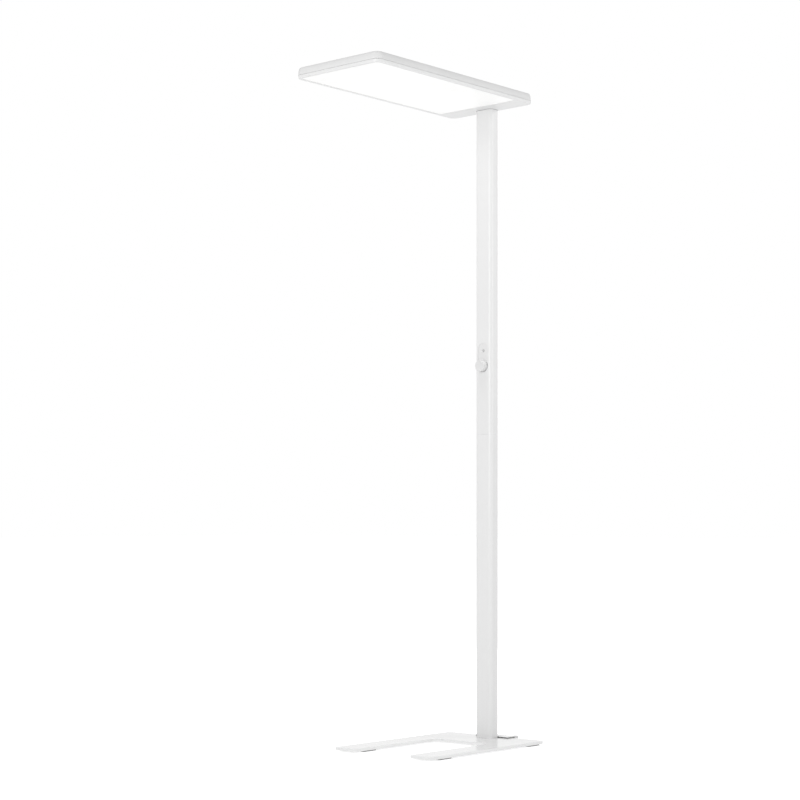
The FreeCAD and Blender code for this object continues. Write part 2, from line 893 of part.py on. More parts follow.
def make_head_bracket():
    """Make the cast bracket: a plate inside the head and a hollow neck down into the column."""
    plate = block(
        bracket_reach - bracket_depth / 2, bracket_reach + bracket_depth / 2, bracket_width,
        web_top, bracket_top, bracket_corner_radius)
    bracket = fused([plate, inner_profile(column_top - neck_length, web_top + past)])
    cutters = [lead_well(column_top - neck_length - past, web_top)]
    lead_hole = cylinder(lead_radius + lead_clearance, web_top - past, bracket_top + past)
    cutters.append(moved(lead_hole, 0, ahead(lead_rise_reach), 0))
    hole = cylinder(bracket_screw_radius + screw_clearance, web_top - past, bracket_top + past)
    cutters += [moved(hole, x, y, 0) for x, y in bracket_screw_places()]
    return with_set_screw_holes(bracket.cut(cutters))


def make_bracket_screws():
    """Make the four screws that hold the bracket to the head's frame."""
    length = bracket_thickness + bracket_screw_bite
    screw = cap_screw(
        bracket_screw_radius, length, bracket_screw_head, bracket_screw_head_height)
    return [moved(screw, x, y, bracket_top) for x, y in bracket_screw_places()]


# ---- Head ----
def head_block(low, high, inset):
    """Make a slice of the head's outline, drawn in by the inset."""
    return inset_block(-head_rear, head_front_reach, head_width, low, high, head_corner_radius, inset)


def panel_block(low, high, outset):
    """Make a slice of the luminous panel's outline, spread by the outset."""
    return inset_block(
        panel_rear_reach, panel_front_reach, panel_width, low, high, panel_corner_radius, -outset)


def window_block(low, high, outset):
    """Make a slice of the uplight window's outline, spread by the outset."""
    return inset_block(
        window_rear_reach, window_front_reach, window_width, low, high, window_corner_radius, -outset)


def snap_lugs(low, high, depth, growth):
    """Make the row of snap lugs round the frame's tongue, each larger by the growth all round."""
    tongue_inset = shell_wall + shell_play
    length = lug_length + 2 * growth
    lugs = []
    for index in range(lugs_per_side):
        reach = -head_rear + head_length * (index + 1) / (lugs_per_side + 1)
        for side in (-1, 1):
            x = side * (head_width / 2 - tongue_inset)
            lugs.append(block(
                reach - length / 2, reach + length / 2, 2 * depth, low - growth, high + growth, 0, x))
    for index in range(lugs_per_end):
        x = head_width * ((index + 1) / (lugs_per_end + 1) - 0.5)
        for reach in (-head_rear + tongue_inset, head_front_reach - tongue_inset):
            lugs.append(block(
                reach - depth, reach + depth, length, low - growth, high + growth, 0, x))
    return lugs


def make_head_frame():
    """Make the cast frame: rim, lip, rear web with its neck hole, cross rib and upstanding tongue."""
    tongue_inset = shell_wall + shell_play
    tongue_top = frame_top + tongue_height
    lug_low = tongue_top - 2 * lug_height
    above = tongue_top + past
    outline = head_block(head_bottom, frame_top, 0)
    outline = outline.makeChamfer(frame_edge_bevel, edges_at(outline, head_bottom))
    tongue = head_block(frame_top, tongue_top, tongue_inset)
    frame = fused([outline, tongue] + snap_lugs(lug_low, lug_low + lug_height, lug_depth, 0.0))
    rib_front = panel_rear_reach - panel_overlap - tray_play
    rib_rear = rib_front - divider_thickness
    rear_half = block(-head_rear, rib_rear, head_width, web_top, above)
    light_half = block(rib_front, head_front_reach, head_width, lip_top, above)
    cutters = [
        head_block(web_top, above, tongue_inset + tongue_thickness).common(rear_half),
        head_block(lip_top, above, frame_rim).common(light_half),
        head_block(frame_top, above, tongue_inset + tongue_thickness),
        panel_block(head_bottom - past, lip_top + past, 0),
        column_profile(head_bottom - past, web_top + past, column_wall),
    ]
    low = web_top - bracket_screw_bite - screw_clearance
    hole = cylinder(bracket_screw_radius + screw_clearance, low, web_top + past)
    cutters += [moved(hole, x, y, 0) for x, y in bracket_screw_places()]
    return frame.cut(cutters)


def make_diffuser_panel():
    """Make the opal panel that lies on the frame's lip."""
    return panel_block(lip_top, diffuser_top, panel_overlap)


def make_led_tray():
    """Make the folded tray over the panel: a flat deck with a wall all round, open below."""
    outset = panel_overlap - tray_play
    tray = panel_block(diffuser_top, tray_top, outset)
    return tray.cut(panel_block(diffuser_top - past, tray_top - tray_sheet, outset - tray_sheet))


def board_strips(count, width, low, high, chip_low, chip_high):
    """Make evenly spaced light boards along the head, each with a row of chips."""
    rear = panel_rear_reach + board_end_margin
    front = panel_front_reach - board_end_margin
    length = front - rear
    chips_per_board = int(length / chip_pitch)
    boards = []
    for index in range(count):
        x = panel_width * ((index + 0.5) / count - 0.5)
        pieces = [block(rear, front, width, low, high, 0, x)]
        for chip in range(chips_per_board):
            reach = rear + length * (chip + 0.5) / chips_per_board
            half = chip_size / 2
            pieces.append(block(reach - half, reach + half, chip_size, chip_low, chip_high, 0, x))
        boards.append(fused(pieces))
    return boards


def make_downlight_boards():
    """Make the light boards under the tray's deck."""
    high = tray_top - tray_sheet
    low = high - board_sheet
    return board_strips(down_board_count, down_board_width, low, high, low - chip_height, low)


def make_uplight_boards():
    """Make the light boards on top of the tray's deck."""
    high = tray_top + board_sheet
    return board_strips(up_board_count, up_board_width, tray_top, high, high, high + chip_height)


def press_ribs():
    """Make the row of ribs down each side by which the shell presses on the tray."""
    x = head_width / 2 - press_rib_inset
    start = panel_rear_reach + press_rib_length
    end = panel_front_reach - press_rib_length
    ribs = []
    for index in range(press_ribs_per_side):
        middle = start + (end - start) * index / (press_ribs_per_side - 1)
        for side in (-1, 1):
            ribs.append(block(
                middle - press_rib_length / 2, middle + press_rib_length / 2, press_rib_thickness,
                tray_top, shell_ceiling + TINY, 0, side * x))
    return ribs


def make_top_shell():
    """Make the top shell: rounded all round, with a rebated window and ribs that hold the tray."""
    shell = head_block(shell_bottom, total_height, 0)
    shell = shell.makeFillet(shell_edge_round, edges_at(shell, total_height))
    hollow = head_block(shell_bottom - past, shell_ceiling, shell_wall)
    inner_bevel = shell_edge_round - max(shell_wall, shell_top)
    hollow = hollow.makeChamfer(inner_bevel, edges_at(hollow, shell_ceiling))
    seat = total_height - cover_recess - cover_thickness
    ledge_low = seat - window_ledge_thickness
    ring = window_block(ledge_low, total_height, window_ledge + window_ring)
    shell = fused([shell.cut(hollow), ring] + press_ribs())
    cutters = [
        window_block(ledge_low - past, total_height + past, 0),
        window_block(seat, total_height + past, window_ledge),
    ]
    lug_low = frame_top + tongue_height - 2 * lug_height
    cutters += snap_lugs(lug_low, lug_low + lug_height, lug_depth + shell_play, fit_clearance)
    return shell.cut(cutters)


def make_uplight_cover():
    """Make the satin cover that lies in the shell's window."""
    high = total_height - cover_recess
    return window_block(high - cover_thickness, high, window_ledge - cover_play)


# ---- Drivers and their leads ----
def make_led_drivers():
    """Make the two driver boxes, one each side of the bracket."""
    drivers = []
    for side in (-1, 1):
        middle_x = side * (driver_start + driver_length / 2)
        drivers.append(block(
            driver_reach - driver_depth / 2, driver_reach + driver_depth / 2, driver_length,
            web_top, web_top + driver_height, driver_corner_radius, middle_x))
    return drivers


def make_driver_connector():
    """Make the connector on the bracket, in which the supply lead ends and the two links start."""
    rear = lead_rise_reach - connector_depth / 2
    return block(
        rear, rear + connector_depth, connector_length, bracket_top, bracket_top + connector_height)


def make_driver_links():
    """Make the two straight leads from the connector to the drivers."""
    length = driver_start - connector_length / 2
    links = []
    for side in (-1, 1):
        start = Vector(side * connector_length / 2, ahead(lead_rise_reach), lead_top_height)
        links.append(Part.makeCylinder(link_radius, length, start, Vector(side, 0, 0)))
    return links


def make_led_leads():
    """Make the short leads from the drivers to the tray's rear wall."""
    start = driver_reach + driver_depth / 2
    end = panel_rear_reach - panel_overlap + tray_play
    leads = []
    for side in (-1, 1):
        corner = Vector(side * feed_step, ahead(start), lead_top_height)
        leads.append(Part.makeCylinder(feed_radius, end - start, corner, Vector(0, -1, 0)))
    return leads


# ---- Writing the pieces ----
PIECES = {
    "base_plate": make_base_plate,
    "pad_carriers": make_pad_carriers,
    "rubber_pads": make_rubber_pads,
    "foot_spigot": make_foot_spigot,
    "foot_screws": make_foot_screws,
    "cord_entry_box": make_cord_entry_box,
    "cord_entry_cover": make_cord_entry_cover,
    "cord_gland": make_cord_gland,
    "terminal_block": make_terminal_block,
    "supply_lead": make_supply_lead,
    "lower_column": make_lower_column,
    "column_coupler": make_column_coupler,
    "upper_column": make_upper_column,
    "column_screws": make_column_screws,
    "control_carrier": make_control_carrier,
    "control_plate": make_control_plate,
    "control_board": make_control_board,
    "sensor_lens": make_sensor_lens,
    "sensor_module": make_sensor_module,
    "encoder_body": make_encoder_body,
    "encoder_nut": make_encoder_nut,
    "switch_plunger": make_switch_plunger,
    "knob_shaft": make_knob_shaft,
    "knob": make_knob,
    "neck_gasket": make_neck_gasket,
    "neck_collar": make_neck_collar,
    "head_bracket": make_head_bracket,
    "bracket_screws": make_bracket_screws,
    "head_frame": make_head_frame,
    "diffuser_panel": make_diffuser_panel,
    "led_tray": make_led_tray,
    "downlight_boards": make_downlight_boards,
    "uplight_boards": make_uplight_boards,
    "top_shell": make_top_shell,
    "uplight_cover": make_uplight_cover,
    "led_drivers": make_led_drivers,
    "driver_connector": make_driver_connector,
    "driver_links": make_driver_links,
    "led_leads": make_led_leads,
}


def write_piece(name, made):
    """Write one node, and print its solids and volume."""
    shape = Part.makeCompound(made) if isinstance(made, list) else made
    if not shape.isValid():
        print(name, "IS NOT VALID")
    shape.exportStep("parts/" + name + ".step")
    print(name, len(shape.Solids), "solids", round(shape.Volume), "mm3")


os.makedirs("parts", exist_ok=True)
for piece_name, maker in PIECES.items():
    write_piece(piece_name, maker())
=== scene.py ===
import json
import math

import bpy
import numpy as np
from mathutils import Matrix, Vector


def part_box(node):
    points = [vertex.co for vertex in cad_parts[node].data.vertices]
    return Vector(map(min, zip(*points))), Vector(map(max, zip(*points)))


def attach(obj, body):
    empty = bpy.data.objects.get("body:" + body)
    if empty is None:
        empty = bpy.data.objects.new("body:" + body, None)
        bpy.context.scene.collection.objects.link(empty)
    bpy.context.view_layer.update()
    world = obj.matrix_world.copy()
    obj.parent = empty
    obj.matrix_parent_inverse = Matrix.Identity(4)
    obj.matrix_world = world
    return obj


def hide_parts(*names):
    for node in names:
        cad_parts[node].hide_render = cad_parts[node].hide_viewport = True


# An office floor lamp, in metres. +Z is up, and the front of the lamp faces -Y. Every surface below is
# worked out as a grid: a row for each step of a section, and a column for each point of an outline.
# Holes and hollows are then cut out of a few of them.

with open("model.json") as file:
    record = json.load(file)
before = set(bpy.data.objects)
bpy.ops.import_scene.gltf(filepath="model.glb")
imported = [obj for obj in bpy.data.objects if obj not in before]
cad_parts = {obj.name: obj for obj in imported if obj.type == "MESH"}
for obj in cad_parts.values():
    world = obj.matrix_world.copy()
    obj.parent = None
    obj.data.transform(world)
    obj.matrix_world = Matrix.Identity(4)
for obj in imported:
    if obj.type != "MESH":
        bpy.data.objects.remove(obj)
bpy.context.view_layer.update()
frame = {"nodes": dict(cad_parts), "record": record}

# ---- Places taken from the frame ----
base_low, base_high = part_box("base_plate")
lower_low, lower_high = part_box("lower_column")
upper_low, upper_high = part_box("upper_column")
collar_low, collar_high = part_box("neck_collar")
gasket_low, gasket_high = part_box("neck_gasket")
head_low, head_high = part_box("head_frame")
shell_low, shell_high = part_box("top_shell")
panel_low, panel_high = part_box("diffuser_panel")
window_low, window_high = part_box("uplight_cover")
plate_low, plate_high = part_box("control_plate")
knob_low, knob_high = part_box("knob")
lens_low, lens_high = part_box("sensor_lens")
entry_low, entry_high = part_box("cord_entry_box")
lid_low, lid_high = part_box("cord_entry_cover")
gland_low, gland_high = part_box("cord_gland")
column_y = (lower_low.y + lower_high.y) / 2
lens_z = (lens_low.z + lens_high.z) / 2
knob_z = (knob_low.z + knob_high.z) / 2
face_reach = column_y - plate_low.y

# ---- Sizes of the finished surfaces ----
# Steps of arcs, rings of turned pieces, and the angles past which an edge stays sharp
arc_steps = 12
edge_steps = 4
fine_edge_steps = 8
shoulder_steps = 20
turn_steps = 96
knob_turn_steps = 128
lens_rings = 10
knob_dish_rings = 16
flare_rings = 7
pole_radius = 0.00005
crease_angle = 35
knob_crease_angle = 50

# How far a cutter reaches in behind a face, how far it stands out of it, and a small break of an edge
cutter_reach = 0.004
cutter_past = 0.001
cut_edge = 0.0003

# Foot
base_corner_rear = 0.018
base_corner_leg = 0.016
base_corner_inner = 0.022
base_bridge_reach = 0.1188
leg_width = 0.085
base_edge = 0.001
pad_length = 0.060
pad_width = 0.057
pad_corner = 0.008
pad_lip = 0.0006
pad_edge = 0.0005
pad_front_inset = 0.053
pad_rear_inset = 0.0055
foot_screw_head = 0.008
foot_screw_hole = 0.0082
foot_screw_recess = 0.0046
foot_screw_spread = 0.043
foot_screw_sink = 0.0002
foot_screw_bevel = 0.0006
foot_screw_flats = 0.006
foot_screw_socket = 0.003

# Cord entry
entry_rim = 0.0019
entry_corner = 0.002
entry_edge = 0.0004
entry_gap = 0.0002
gland_root_depth = 0.001
gland_root_wall = 0.0006
gland_edge = 0.0005
gland_barrel = 0.009
gland_tip = 0.0046
gland_bore = 0.0032
gland_tip_round = 0.0007
gland_mouth_round = 0.0004
gland_bore_end = 0.004

# Column
column_corner = 0.012
column_wall = 0.0024
set_screw_radius = 0.003
set_screw_depth = 0.0054
set_screw_clearance = 0.0001
set_screw_sink = 0.0003
set_screw_bevel = 0.0003
set_screw_flats = 0.003
set_screw_socket = 0.0025
set_screw_foot_reach = 0.0442
set_screw_seam_reach = 0.0295
set_screw_top_reach = 0.030
lower_set_heights = [lower_low.z + set_screw_foot_reach, lower_high.z - set_screw_seam_reach]
upper_set_heights = [upper_low.z + set_screw_seam_reach, upper_high.z - set_screw_top_reach]

# Control unit
capsule_radius = 0.0185
capsule_spread = 0.0505
capsule_gap = 0.00015
nearly_full_round = 0.9999
plate_edge = 0.0005
well_depth = 0.0019
well_round = 0.0004
sensor_rise = 0.0465
dish_radius = 0.0065
dish_floor_radius = 0.0036
dish_depth = 0.002
dish_waist_spread = 0.0012
dish_waist_depth = 0.0009
dish_lip_inset = 0.0004
dish_lip_depth = 0.0001
dish_lip_rise = 0.0002
lens_radius = 0.0035
lens_flange_radius = 0.0047
lens_flange = 0.0014
lens_shoulder = 0.0001
lens_dome = 0.0012
lens_middle_radius = 0.0021
lens_painted_shade_radius = 0.0026
knob_edge = 0.0009
knob_dish_radius = 0.0146
knob_dish_depth = 0.0009
knob_skirt_round = 0.0004
knob_bore = 0.0035
knob_hollow = 0.0038
knob_wall = 0.0026

# Neck and head
gasket_edge = 0.0002
collar_foot = 0.0012
collar_spread = 0.0075
head_corner = 0.022
frame_rim_top = 0.008
frame_round = 0.0016
tongue_inset = 0.00265
tongue_wall = 0.0016
panel_border = 0.011
panel_rear_border = 0.077
panel_corner = 0.012
panel_overlap = 0.006
panel_lip = 0.0015
panel_seat = 0.002
lip_round = 0.0004
shell_wall = 0.0025
shell_round_width = 0.006
shell_round_height = 0.018
shell_foot_round = 0.0006
window_border = 0.028
window_rear_border = 0.095
window_corner = 0.014
window_ledge = 0.006
window_ledge_thickness = 0.002
window_recess = 0.0034
window_cover_outset = 0.0056
window_cover_edge = 0.0004

# ---- Values of the finishes ----
peel_size = 0.0016
cloud_share = 0.02
bump_strength = 0.6
coat_relief = 0.000012
base_relief = 0.000003
grain_relief = 0.00002
line_relief = 0.00001
lens_relief = 0.000004
# Painted shade: how dark the ring round the sensor's lens is, standing in for the shade in the sensor's dish
lens_painted_shade_strength = 0.85
panel_relief = 0.00006
panel_emission = 0.49

# ---- Values of the studio ----
floor_reach = 60.0
floor_colour = 0.85
floor_roughness = 0.9
floor_glow = 0.25
floor_lift = 0.33
room_level = 0.55
glow_power = 0.75
glow_spread = 55.0
glow_drop = 0.004
camera_place = (3.51878, -4.12102, 0.66827)
camera_turn = 0.71936
camera_lens = 83.508
camera_shift = 0.15258
film_width = 36.0
# Each soft light: its name, place, target, width, power, and whether it shows in reflections.
soft_lights = [
    ("key", (0.8, -2.8, 1.7), (0.0, 0.29, 1.6), 1.7, 31.0, True),
    ("side_fill", (2.4, 1.7, 2.0), (0.0, 0.2, 1.9), 1.6, 21.0, True),
    ("rear_fill", (-2.6, 3.4, 1.6), (0.0, 0.2, 1.0), 2.2, 25.0, False),
]


# ---- Surfaces ----
def arc(centre_x, centre_y, radius, start, end, steps, height=None):
    """Give points of an arc or, with a height, of an ellipse: centre + (radius cos a, height sin a)."""
    angle = np.radians(np.linspace(start, end, steps + 1))
    rise = radius if height is None else height
    return np.stack([centre_x + radius * np.cos(angle), centre_y + rise * np.sin(angle)], axis=1)


def rounded_outline(corners, radii):
    """Round the corners of a closed outline, listed anticlockwise, and give points and outward normals.

    At a corner with sides along a and b the arc touches both sides at radius * tan(turn / 2) from it.
    A point of the arc is its centre + s * radius * n. The unit normal n swings from the first side's
    outward normal to the second's, and s is 1 at an outer corner and -1 at an inner one.
    """
    corner = np.asarray(corners, float)
    radius = np.asarray(radii, float)[:, None]
    before = corner - np.roll(corner, 1, axis=0)
    before /= np.linalg.norm(before, axis=1, keepdims=True)
    after = np.roll(before, -1, axis=0)
    cross = before[:, 0] * after[:, 1] - before[:, 1] * after[:, 0]
    turn = np.arctan2(cross, (before * after).sum(axis=1))[:, None]
    side = np.sign(turn)
    normal = np.stack([before[:, 1], -before[:, 0]], axis=1)
    centre = corner - before * radius * np.tan(np.abs(turn) / 2) - side * radius * normal
    share = np.linspace(0, 1, arc_steps + 1)[None, :]
    angle = np.arctan2(normal[:, 1:], normal[:, :1]) + turn * share
    swung = np.stack([np.cos(angle), np.sin(angle)], axis=2)
    points = centre[:, None, :] + (side * radius)[:, :, None] * swung
    return points.reshape(-1, 2), swung.reshape(-1, 2)


def rectangle(low_x, high_x, low_y, high_y, radius):
    """Give the outline of a rectangle with round corners."""
    corners = [(low_x, low_y), (high_x, low_y), (high_x, high_y), (low_x, high_y)]
    return rounded_outline(corners, [radius] * 4)


def carried(outline, section):
    """Carry a section of (inset, height) round an outline: each point is moved in by inset * normal."""
    points, normals = outline
    section = np.asarray(section, float)
    plan = points[None, :, :] - section[:, :1, None] * normals[None, :, :]
    height = np.broadcast_to(section[:, 1:, None], plan.shape[:2] + (1,))
    return np.concatenate([plan, height], axis=2)


def turned(section, steps=turn_steps):
    """Turn a section of (radius, height) about Z: (radius cos t, radius sin t, height), t from 0 to 360."""
    section = np.asarray(section, float)
    angle = np.linspace(0, 2 * np.pi, steps, endpoint=False)[None, :]
    radius = section[:, :1]
    height = np.broadcast_to(section[:, 1:], (len(section), steps))
    return np.stack([radius * np.cos(angle), radius * np.sin(angle), height], axis=2)


def facing_front(rows, z):
    """Set rows drawn with x across, y up and z ahead on the column's axis at a height."""
    return np.stack([rows[..., 0], column_y - rows[..., 2], z + rows[..., 1]], axis=-1)


def facing_rear(rows, x, z):
    """Set rows drawn with z pointing backwards on the column's axis at a height."""
    return np.stack([x - rows[..., 0], column_y + rows[..., 2], z + rows[..., 1]], axis=-1)


def facing_down(rows, x, y, z):
    """Set rows drawn with z pointing up so that they point down from a place."""
    return np.stack([x + rows[..., 0], y - rows[..., 1], z - rows[..., 2]], axis=-1)


def grid_faces(rows, columns, ring):
    """Give the quads of a grid whose columns close on themselves, and whose rows do too if it is a ring."""
    row = np.arange(rows if ring else rows - 1)[:, None]
    column = np.arange(columns)[None, :]
    next_row = (row + 1) % rows
    next_column = (column + 1) % columns
    quads = [row * columns + column, row * columns + next_column,
             next_row * columns + next_column, next_row * columns + column]
    return np.stack(quads, axis=2).reshape(-1, 4)


def surface(name, sheets, crease=crease_angle):
    """Make one mesh of several grids. A grid that isn't a ring is closed by a flat cap at each end."""
    places = []
    faces = []
    start = 0
    for rows, ring in sheets:
        count, columns = rows.shape[:2]
        places.append(rows.reshape(-1, 3))
        faces += (grid_faces(count, columns, ring) + start).tolist()
        if not ring:
            faces.append(list(range(start + columns - 1, start - 1, -1)))
            last = start + (count - 1) * columns
            faces.append(list(range(last, last + columns)))
        start += count * columns
    mesh = bpy.data.meshes.new(name)
    mesh.from_pydata(np.concatenate(places), [], faces)
    mesh.shade_smooth()
    mesh.set_sharp_from_angle(angle=math.radians(crease))
    piece = bpy.data.objects.new(name, mesh)
    bpy.context.scene.collection.objects.link(piece)
    return piece


def carve(piece, cutters):
    """Cut other closed surfaces out of a piece, keep the result as its mesh, and remove the cutters."""
    for cutter in cutters:
        cut = piece.modifiers.new("cut", "BOOLEAN")
        cut.operation = "DIFFERENCE"
        cut.solver = "EXACT"
        cut.object = cutter
    evaluated = piece.evaluated_get(bpy.context.evaluated_depsgraph_get())
    mesh = bpy.data.meshes.new_from_object(evaluated)
    piece.modifiers.clear()
    piece.data = mesh
    mesh.shade_smooth()
    mesh.set_sharp_from_angle(angle=math.radians(crease_angle))
    for cutter in cutters:
        bpy.data.objects.remove(cutter)


def complete(piece, material, body, slot, *nodes):
    """Give a piece even shading, its material and its body, and let it stand for its nodes. The slot is not
    used.
    """
    even = piece.modifiers.new("even_shading", "WEIGHTED_NORMAL")
    even.keep_sharp = True
    piece.data.materials.clear()
    piece.data.materials.append(material)
    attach(piece, body)
    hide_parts(*nodes)


def slab(low, high, edge):
    """Give the section of a slab's rim between two heights, both edges rounded, from foot to top."""
    foot = arc(edge, low + edge, edge, 270, 180, edge_steps)
    top = arc(edge, high - edge, edge, 180, 90, edge_steps)
    return np.concatenate([foot, top])


def hexagon_socket(flats, outer, depth, height):
    """Give rows that run from a circle in over a flat face and down a hexagon socket to its floor.

    A point of the hexagon lies at (flats / 2) / cos(t') with t' its angle from the middle of its side.
    """
    angle = np.linspace(0, 2 * np.pi, turn_steps, endpoint=False)
    from_middle = (angle + np.pi / 6) % (np.pi / 3) - np.pi / 6
    hexagon = flats / 2 / np.cos(from_middle)
    rows = [(outer + 0 * angle, height), (hexagon, height), (hexagon, height - depth)]
    return np.stack([np.stack([reach * np.cos(angle), reach * np.sin(angle), level + 0 * angle], axis=1)
                     for reach, level in rows])


# ---- Effects that several finishes share ----
def effect(name, inputs, outputs):
    """Start a shader node group with named sockets, and give it with its two end nodes."""
    group = bpy.data.node_groups.new(name, "ShaderNodeTree")
    for label, kind, value in inputs:
        socket = group.interface.new_socket(label, in_out="INPUT", socket_type=kind)
        if value is not None:
            socket.default_value = value
    for label, kind in outputs:
        group.interface.new_socket(label, in_out="OUTPUT", socket_type=kind)
    return group, group.nodes.new("NodeGroupInput"), group.nodes.new("NodeGroupOutput")


def noise(tree, vector, scale, detail=2.0, roughness=0.5):
    """Add a noise texture and give its value output."""
    node = tree.nodes.new("ShaderNodeTexNoise")
    node.inputs["Detail"].default_value = detail
    node.inputs["Roughness"].default_value = roughness
    tree.links.new(vector, node.inputs["Vector"])
    if isinstance(scale, float):
        node.inputs["Scale"].default_value = scale
    else:
        tree.links.new(scale, node.inputs["Scale"])
    return node.outputs["Fac"]


def ranged(tree, value, from_low, from_high, to_low, to_high):
    """Map a value from one range to another."""
    node = tree.nodes.new("ShaderNodeMapRange")
    node.inputs["From Min"].default_value = from_low
    node.inputs["From Max"].default_value = from_high
    node.inputs["To Min"].default_value = to_low
    node.inputs["To Max"].default_value = to_high
    tree.links.new(value, node.inputs["Value"])
    return node.outputs["Result"]


def arithmetic(tree, operation, first, second=0.0):
    """Join two values, either of which may be a plain number."""
    node = tree.nodes.new("ShaderNodeMath")
    node.operation = operation
    for socket, value in zip(node.inputs, (first, second)):
        if isinstance(value, (int, float)):
            socket.default_value = value
        else:
            tree.links.new(value, socket)
    return node.outputs["Value"]


def blended(tree, factor, first, second):
    """Mix two colours by a factor. A colour may be a socket or plain values."""
    node = tree.nodes.new("ShaderNodeMix")
    node.data_type = "RGBA"
    for label, value in (("Factor", factor), ("A", first), ("B", second)):
        sockets = [item for item in node.inputs if item.name == label and item.enabled]
        if isinstance(value, tuple):
            sockets[0].default_value = value
        else:
            tree.links.new(value, sockets[0])
    return [item for item in node.outputs if item.enabled][0]


def make_powder_coat_effect():
    """Group: the soft orange peel of a baked powder coat, with its faint clouds and glints."""
    group, start, end = effect(
        "powder_coat",
        [("Vector", "NodeSocketVector", None), ("Colour", "NodeSocketColor", (0.8, 0.8, 0.8, 1)),
         ("Peel size", "NodeSocketFloat", 0.0016), ("Cloud", "NodeSocketFloat", 0.03),
         ("Shine", "NodeSocketFloat", 0.3)],
        [("Colour", "NodeSocketColor"), ("Roughness", "NodeSocketFloat"), ("Height", "NodeSocketFloat")])
    vector = start.outputs["Vector"]
    scale = arithmetic(group, "DIVIDE", 1.0, start.outputs["Peel size"])
    peel = noise(group, vector, scale, 1.5)
    fine = noise(group, vector, arithmetic(group, "MULTIPLY", scale, 4.3), 1.0)
    cloud = ranged(group, noise(group, vector, 2.6, 3.0), 0.35, 0.65, 0.0, 1.0)
    amount = arithmetic(group, "MULTIPLY", cloud, start.outputs["Cloud"])
    tinted = blended(group, amount, start.outputs["Colour"], (0.0, 0.0, 0.0, 1))
    patch = ranged(group, fine, 0.3, 0.7, -0.04, 0.04)
    glint = arithmetic(group, "ADD", patch, start.outputs["Shine"])
    height = arithmetic(group, "ADD", peel, arithmetic(group, "MULTIPLY", fine, 0.25))
    group.links.new(tinted, end.inputs["Colour"])
    group.links.new(glint, end.inputs["Roughness"])
    group.links.new(height, end.inputs["Height"])
    return group


def make_moulded_effect():
    """Group: the spark-eroded grain of a moulded surface, with slight flow marks."""
    group, start, end = effect(
        "moulded_grain",
        [("Vector", "NodeSocketVector", None), ("Colour", "NodeSocketColor", (0.8, 0.8, 0.8, 1)),
         ("Grain size", "NodeSocketFloat", 0.0006), ("Shine", "NodeSocketFloat", 0.5)],
        [("Colour", "NodeSocketColor"), ("Roughness", "NodeSocketFloat"), ("Height", "NodeSocketFloat")])
    vector = start.outputs["Vector"]
    scale = arithmetic(group, "DIVIDE", 1.0, start.outputs["Grain size"])
    cells = group.nodes.new("ShaderNodeTexVoronoi")
    cells.feature = "SMOOTH_F1"
    group.links.new(vector, cells.inputs["Vector"])
    group.links.new(scale, cells.inputs["Scale"])
    flow = ranged(group, noise(group, vector, 9.0, 2.0), 0.35, 0.65, 0.0, 0.035)
    tinted = blended(group, flow, start.outputs["Colour"], (0.0, 0.0, 0.0, 1))
    patch = ranged(group, noise(group, vector, 60.0, 2.0), 0.3, 0.7, -0.05, 0.05)
    group.links.new(tinted, end.inputs["Colour"])
    group.links.new(arithmetic(group, "ADD", patch, start.outputs["Shine"]), end.inputs["Roughness"])
    group.links.new(cells.outputs["Distance"], end.inputs["Height"])
    return group


def make_dust_effect():
    """Group: a thin film of dust on faces that look up, thicker in patches."""
    group, start, end = effect(
        "settled_dust",
        [("Vector", "NodeSocketVector", None), ("Colour", "NodeSocketColor", (0.8, 0.8, 0.8, 1)),
         ("Amount", "NodeSocketFloat", 0.1)],
        [("Colour", "NodeSocketColor")])
    geometry = group.nodes.new("ShaderNodeNewGeometry")
    parts = group.nodes.new("ShaderNodeSeparateXYZ")
    group.links.new(geometry.outputs["Normal"], parts.inputs["Vector"])
    upward = ranged(group, parts.outputs["Z"], 0.5, 0.95, 0.0, 1.0)
    patch = ranged(group, noise(group, start.outputs["Vector"], 7.0, 4.0, 0.6), 0.35, 0.7, 0.25, 1.0)
    mask = arithmetic(group, "MULTIPLY", arithmetic(group, "MULTIPLY", upward, patch),
                      start.outputs["Amount"])
    dusty = blended(group, mask, start.outputs["Colour"], (0.66, 0.65, 0.63, 1))
    group.links.new(dusty, end.inputs["Colour"])
    return group


def make_brushed_effect():
    """Group: fine lines that run along Z, as on drawn or turned metal, with dull patches."""
    group, start, end = effect(
        "drawn_lines",
        [("Vector", "NodeSocketVector", None), ("Colour", "NodeSocketColor", (0.6, 0.6, 0.6, 1)),
         ("Line size", "NodeSocketFloat", 0.0002), ("Shine", "NodeSocketFloat", 0.35)],
        [("Colour", "NodeSocketColor"), ("Roughness", "NodeSocketFloat"), ("Height", "NodeSocketFloat")])
    stretch = group.nodes.new("ShaderNodeMapping")
    stretch.inputs["Scale"].default_value = (1.0, 1.0, 0.04)
    group.links.new(start.outputs["Vector"], stretch.inputs["Vector"])
    scale = arithmetic(group, "DIVIDE", 1.0, start.outputs["Line size"])
    lines = noise(group, stretch.outputs["Vector"], scale, 2.0)
    patch = noise(group, start.outputs["Vector"], 45.0, 3.0)
    dull = ranged(group, patch, 0.3, 0.7, -0.06, 0.1)
    shade = ranged(group, lines, 0.3, 0.7, 0.0, 0.12)
    group.links.new(blended(group, shade, start.outputs["Colour"], (0.1, 0.1, 0.1, 1)), end.inputs["Colour"])
    group.links.new(arithmetic(group, "ADD", dull, start.outputs["Shine"]), end.inputs["Roughness"])
    group.links.new(lines, end.inputs["Height"])
    return group


powder_coat_effect = make_powder_coat_effect()
moulded_effect = make_moulded_effect()
dust_effect = make_dust_effect()
brushed_effect = make_brushed_effect()


# ---- Finishes ----
def grey(value):
    """Give a neutral colour."""
    return (value, value, value, 1.0)


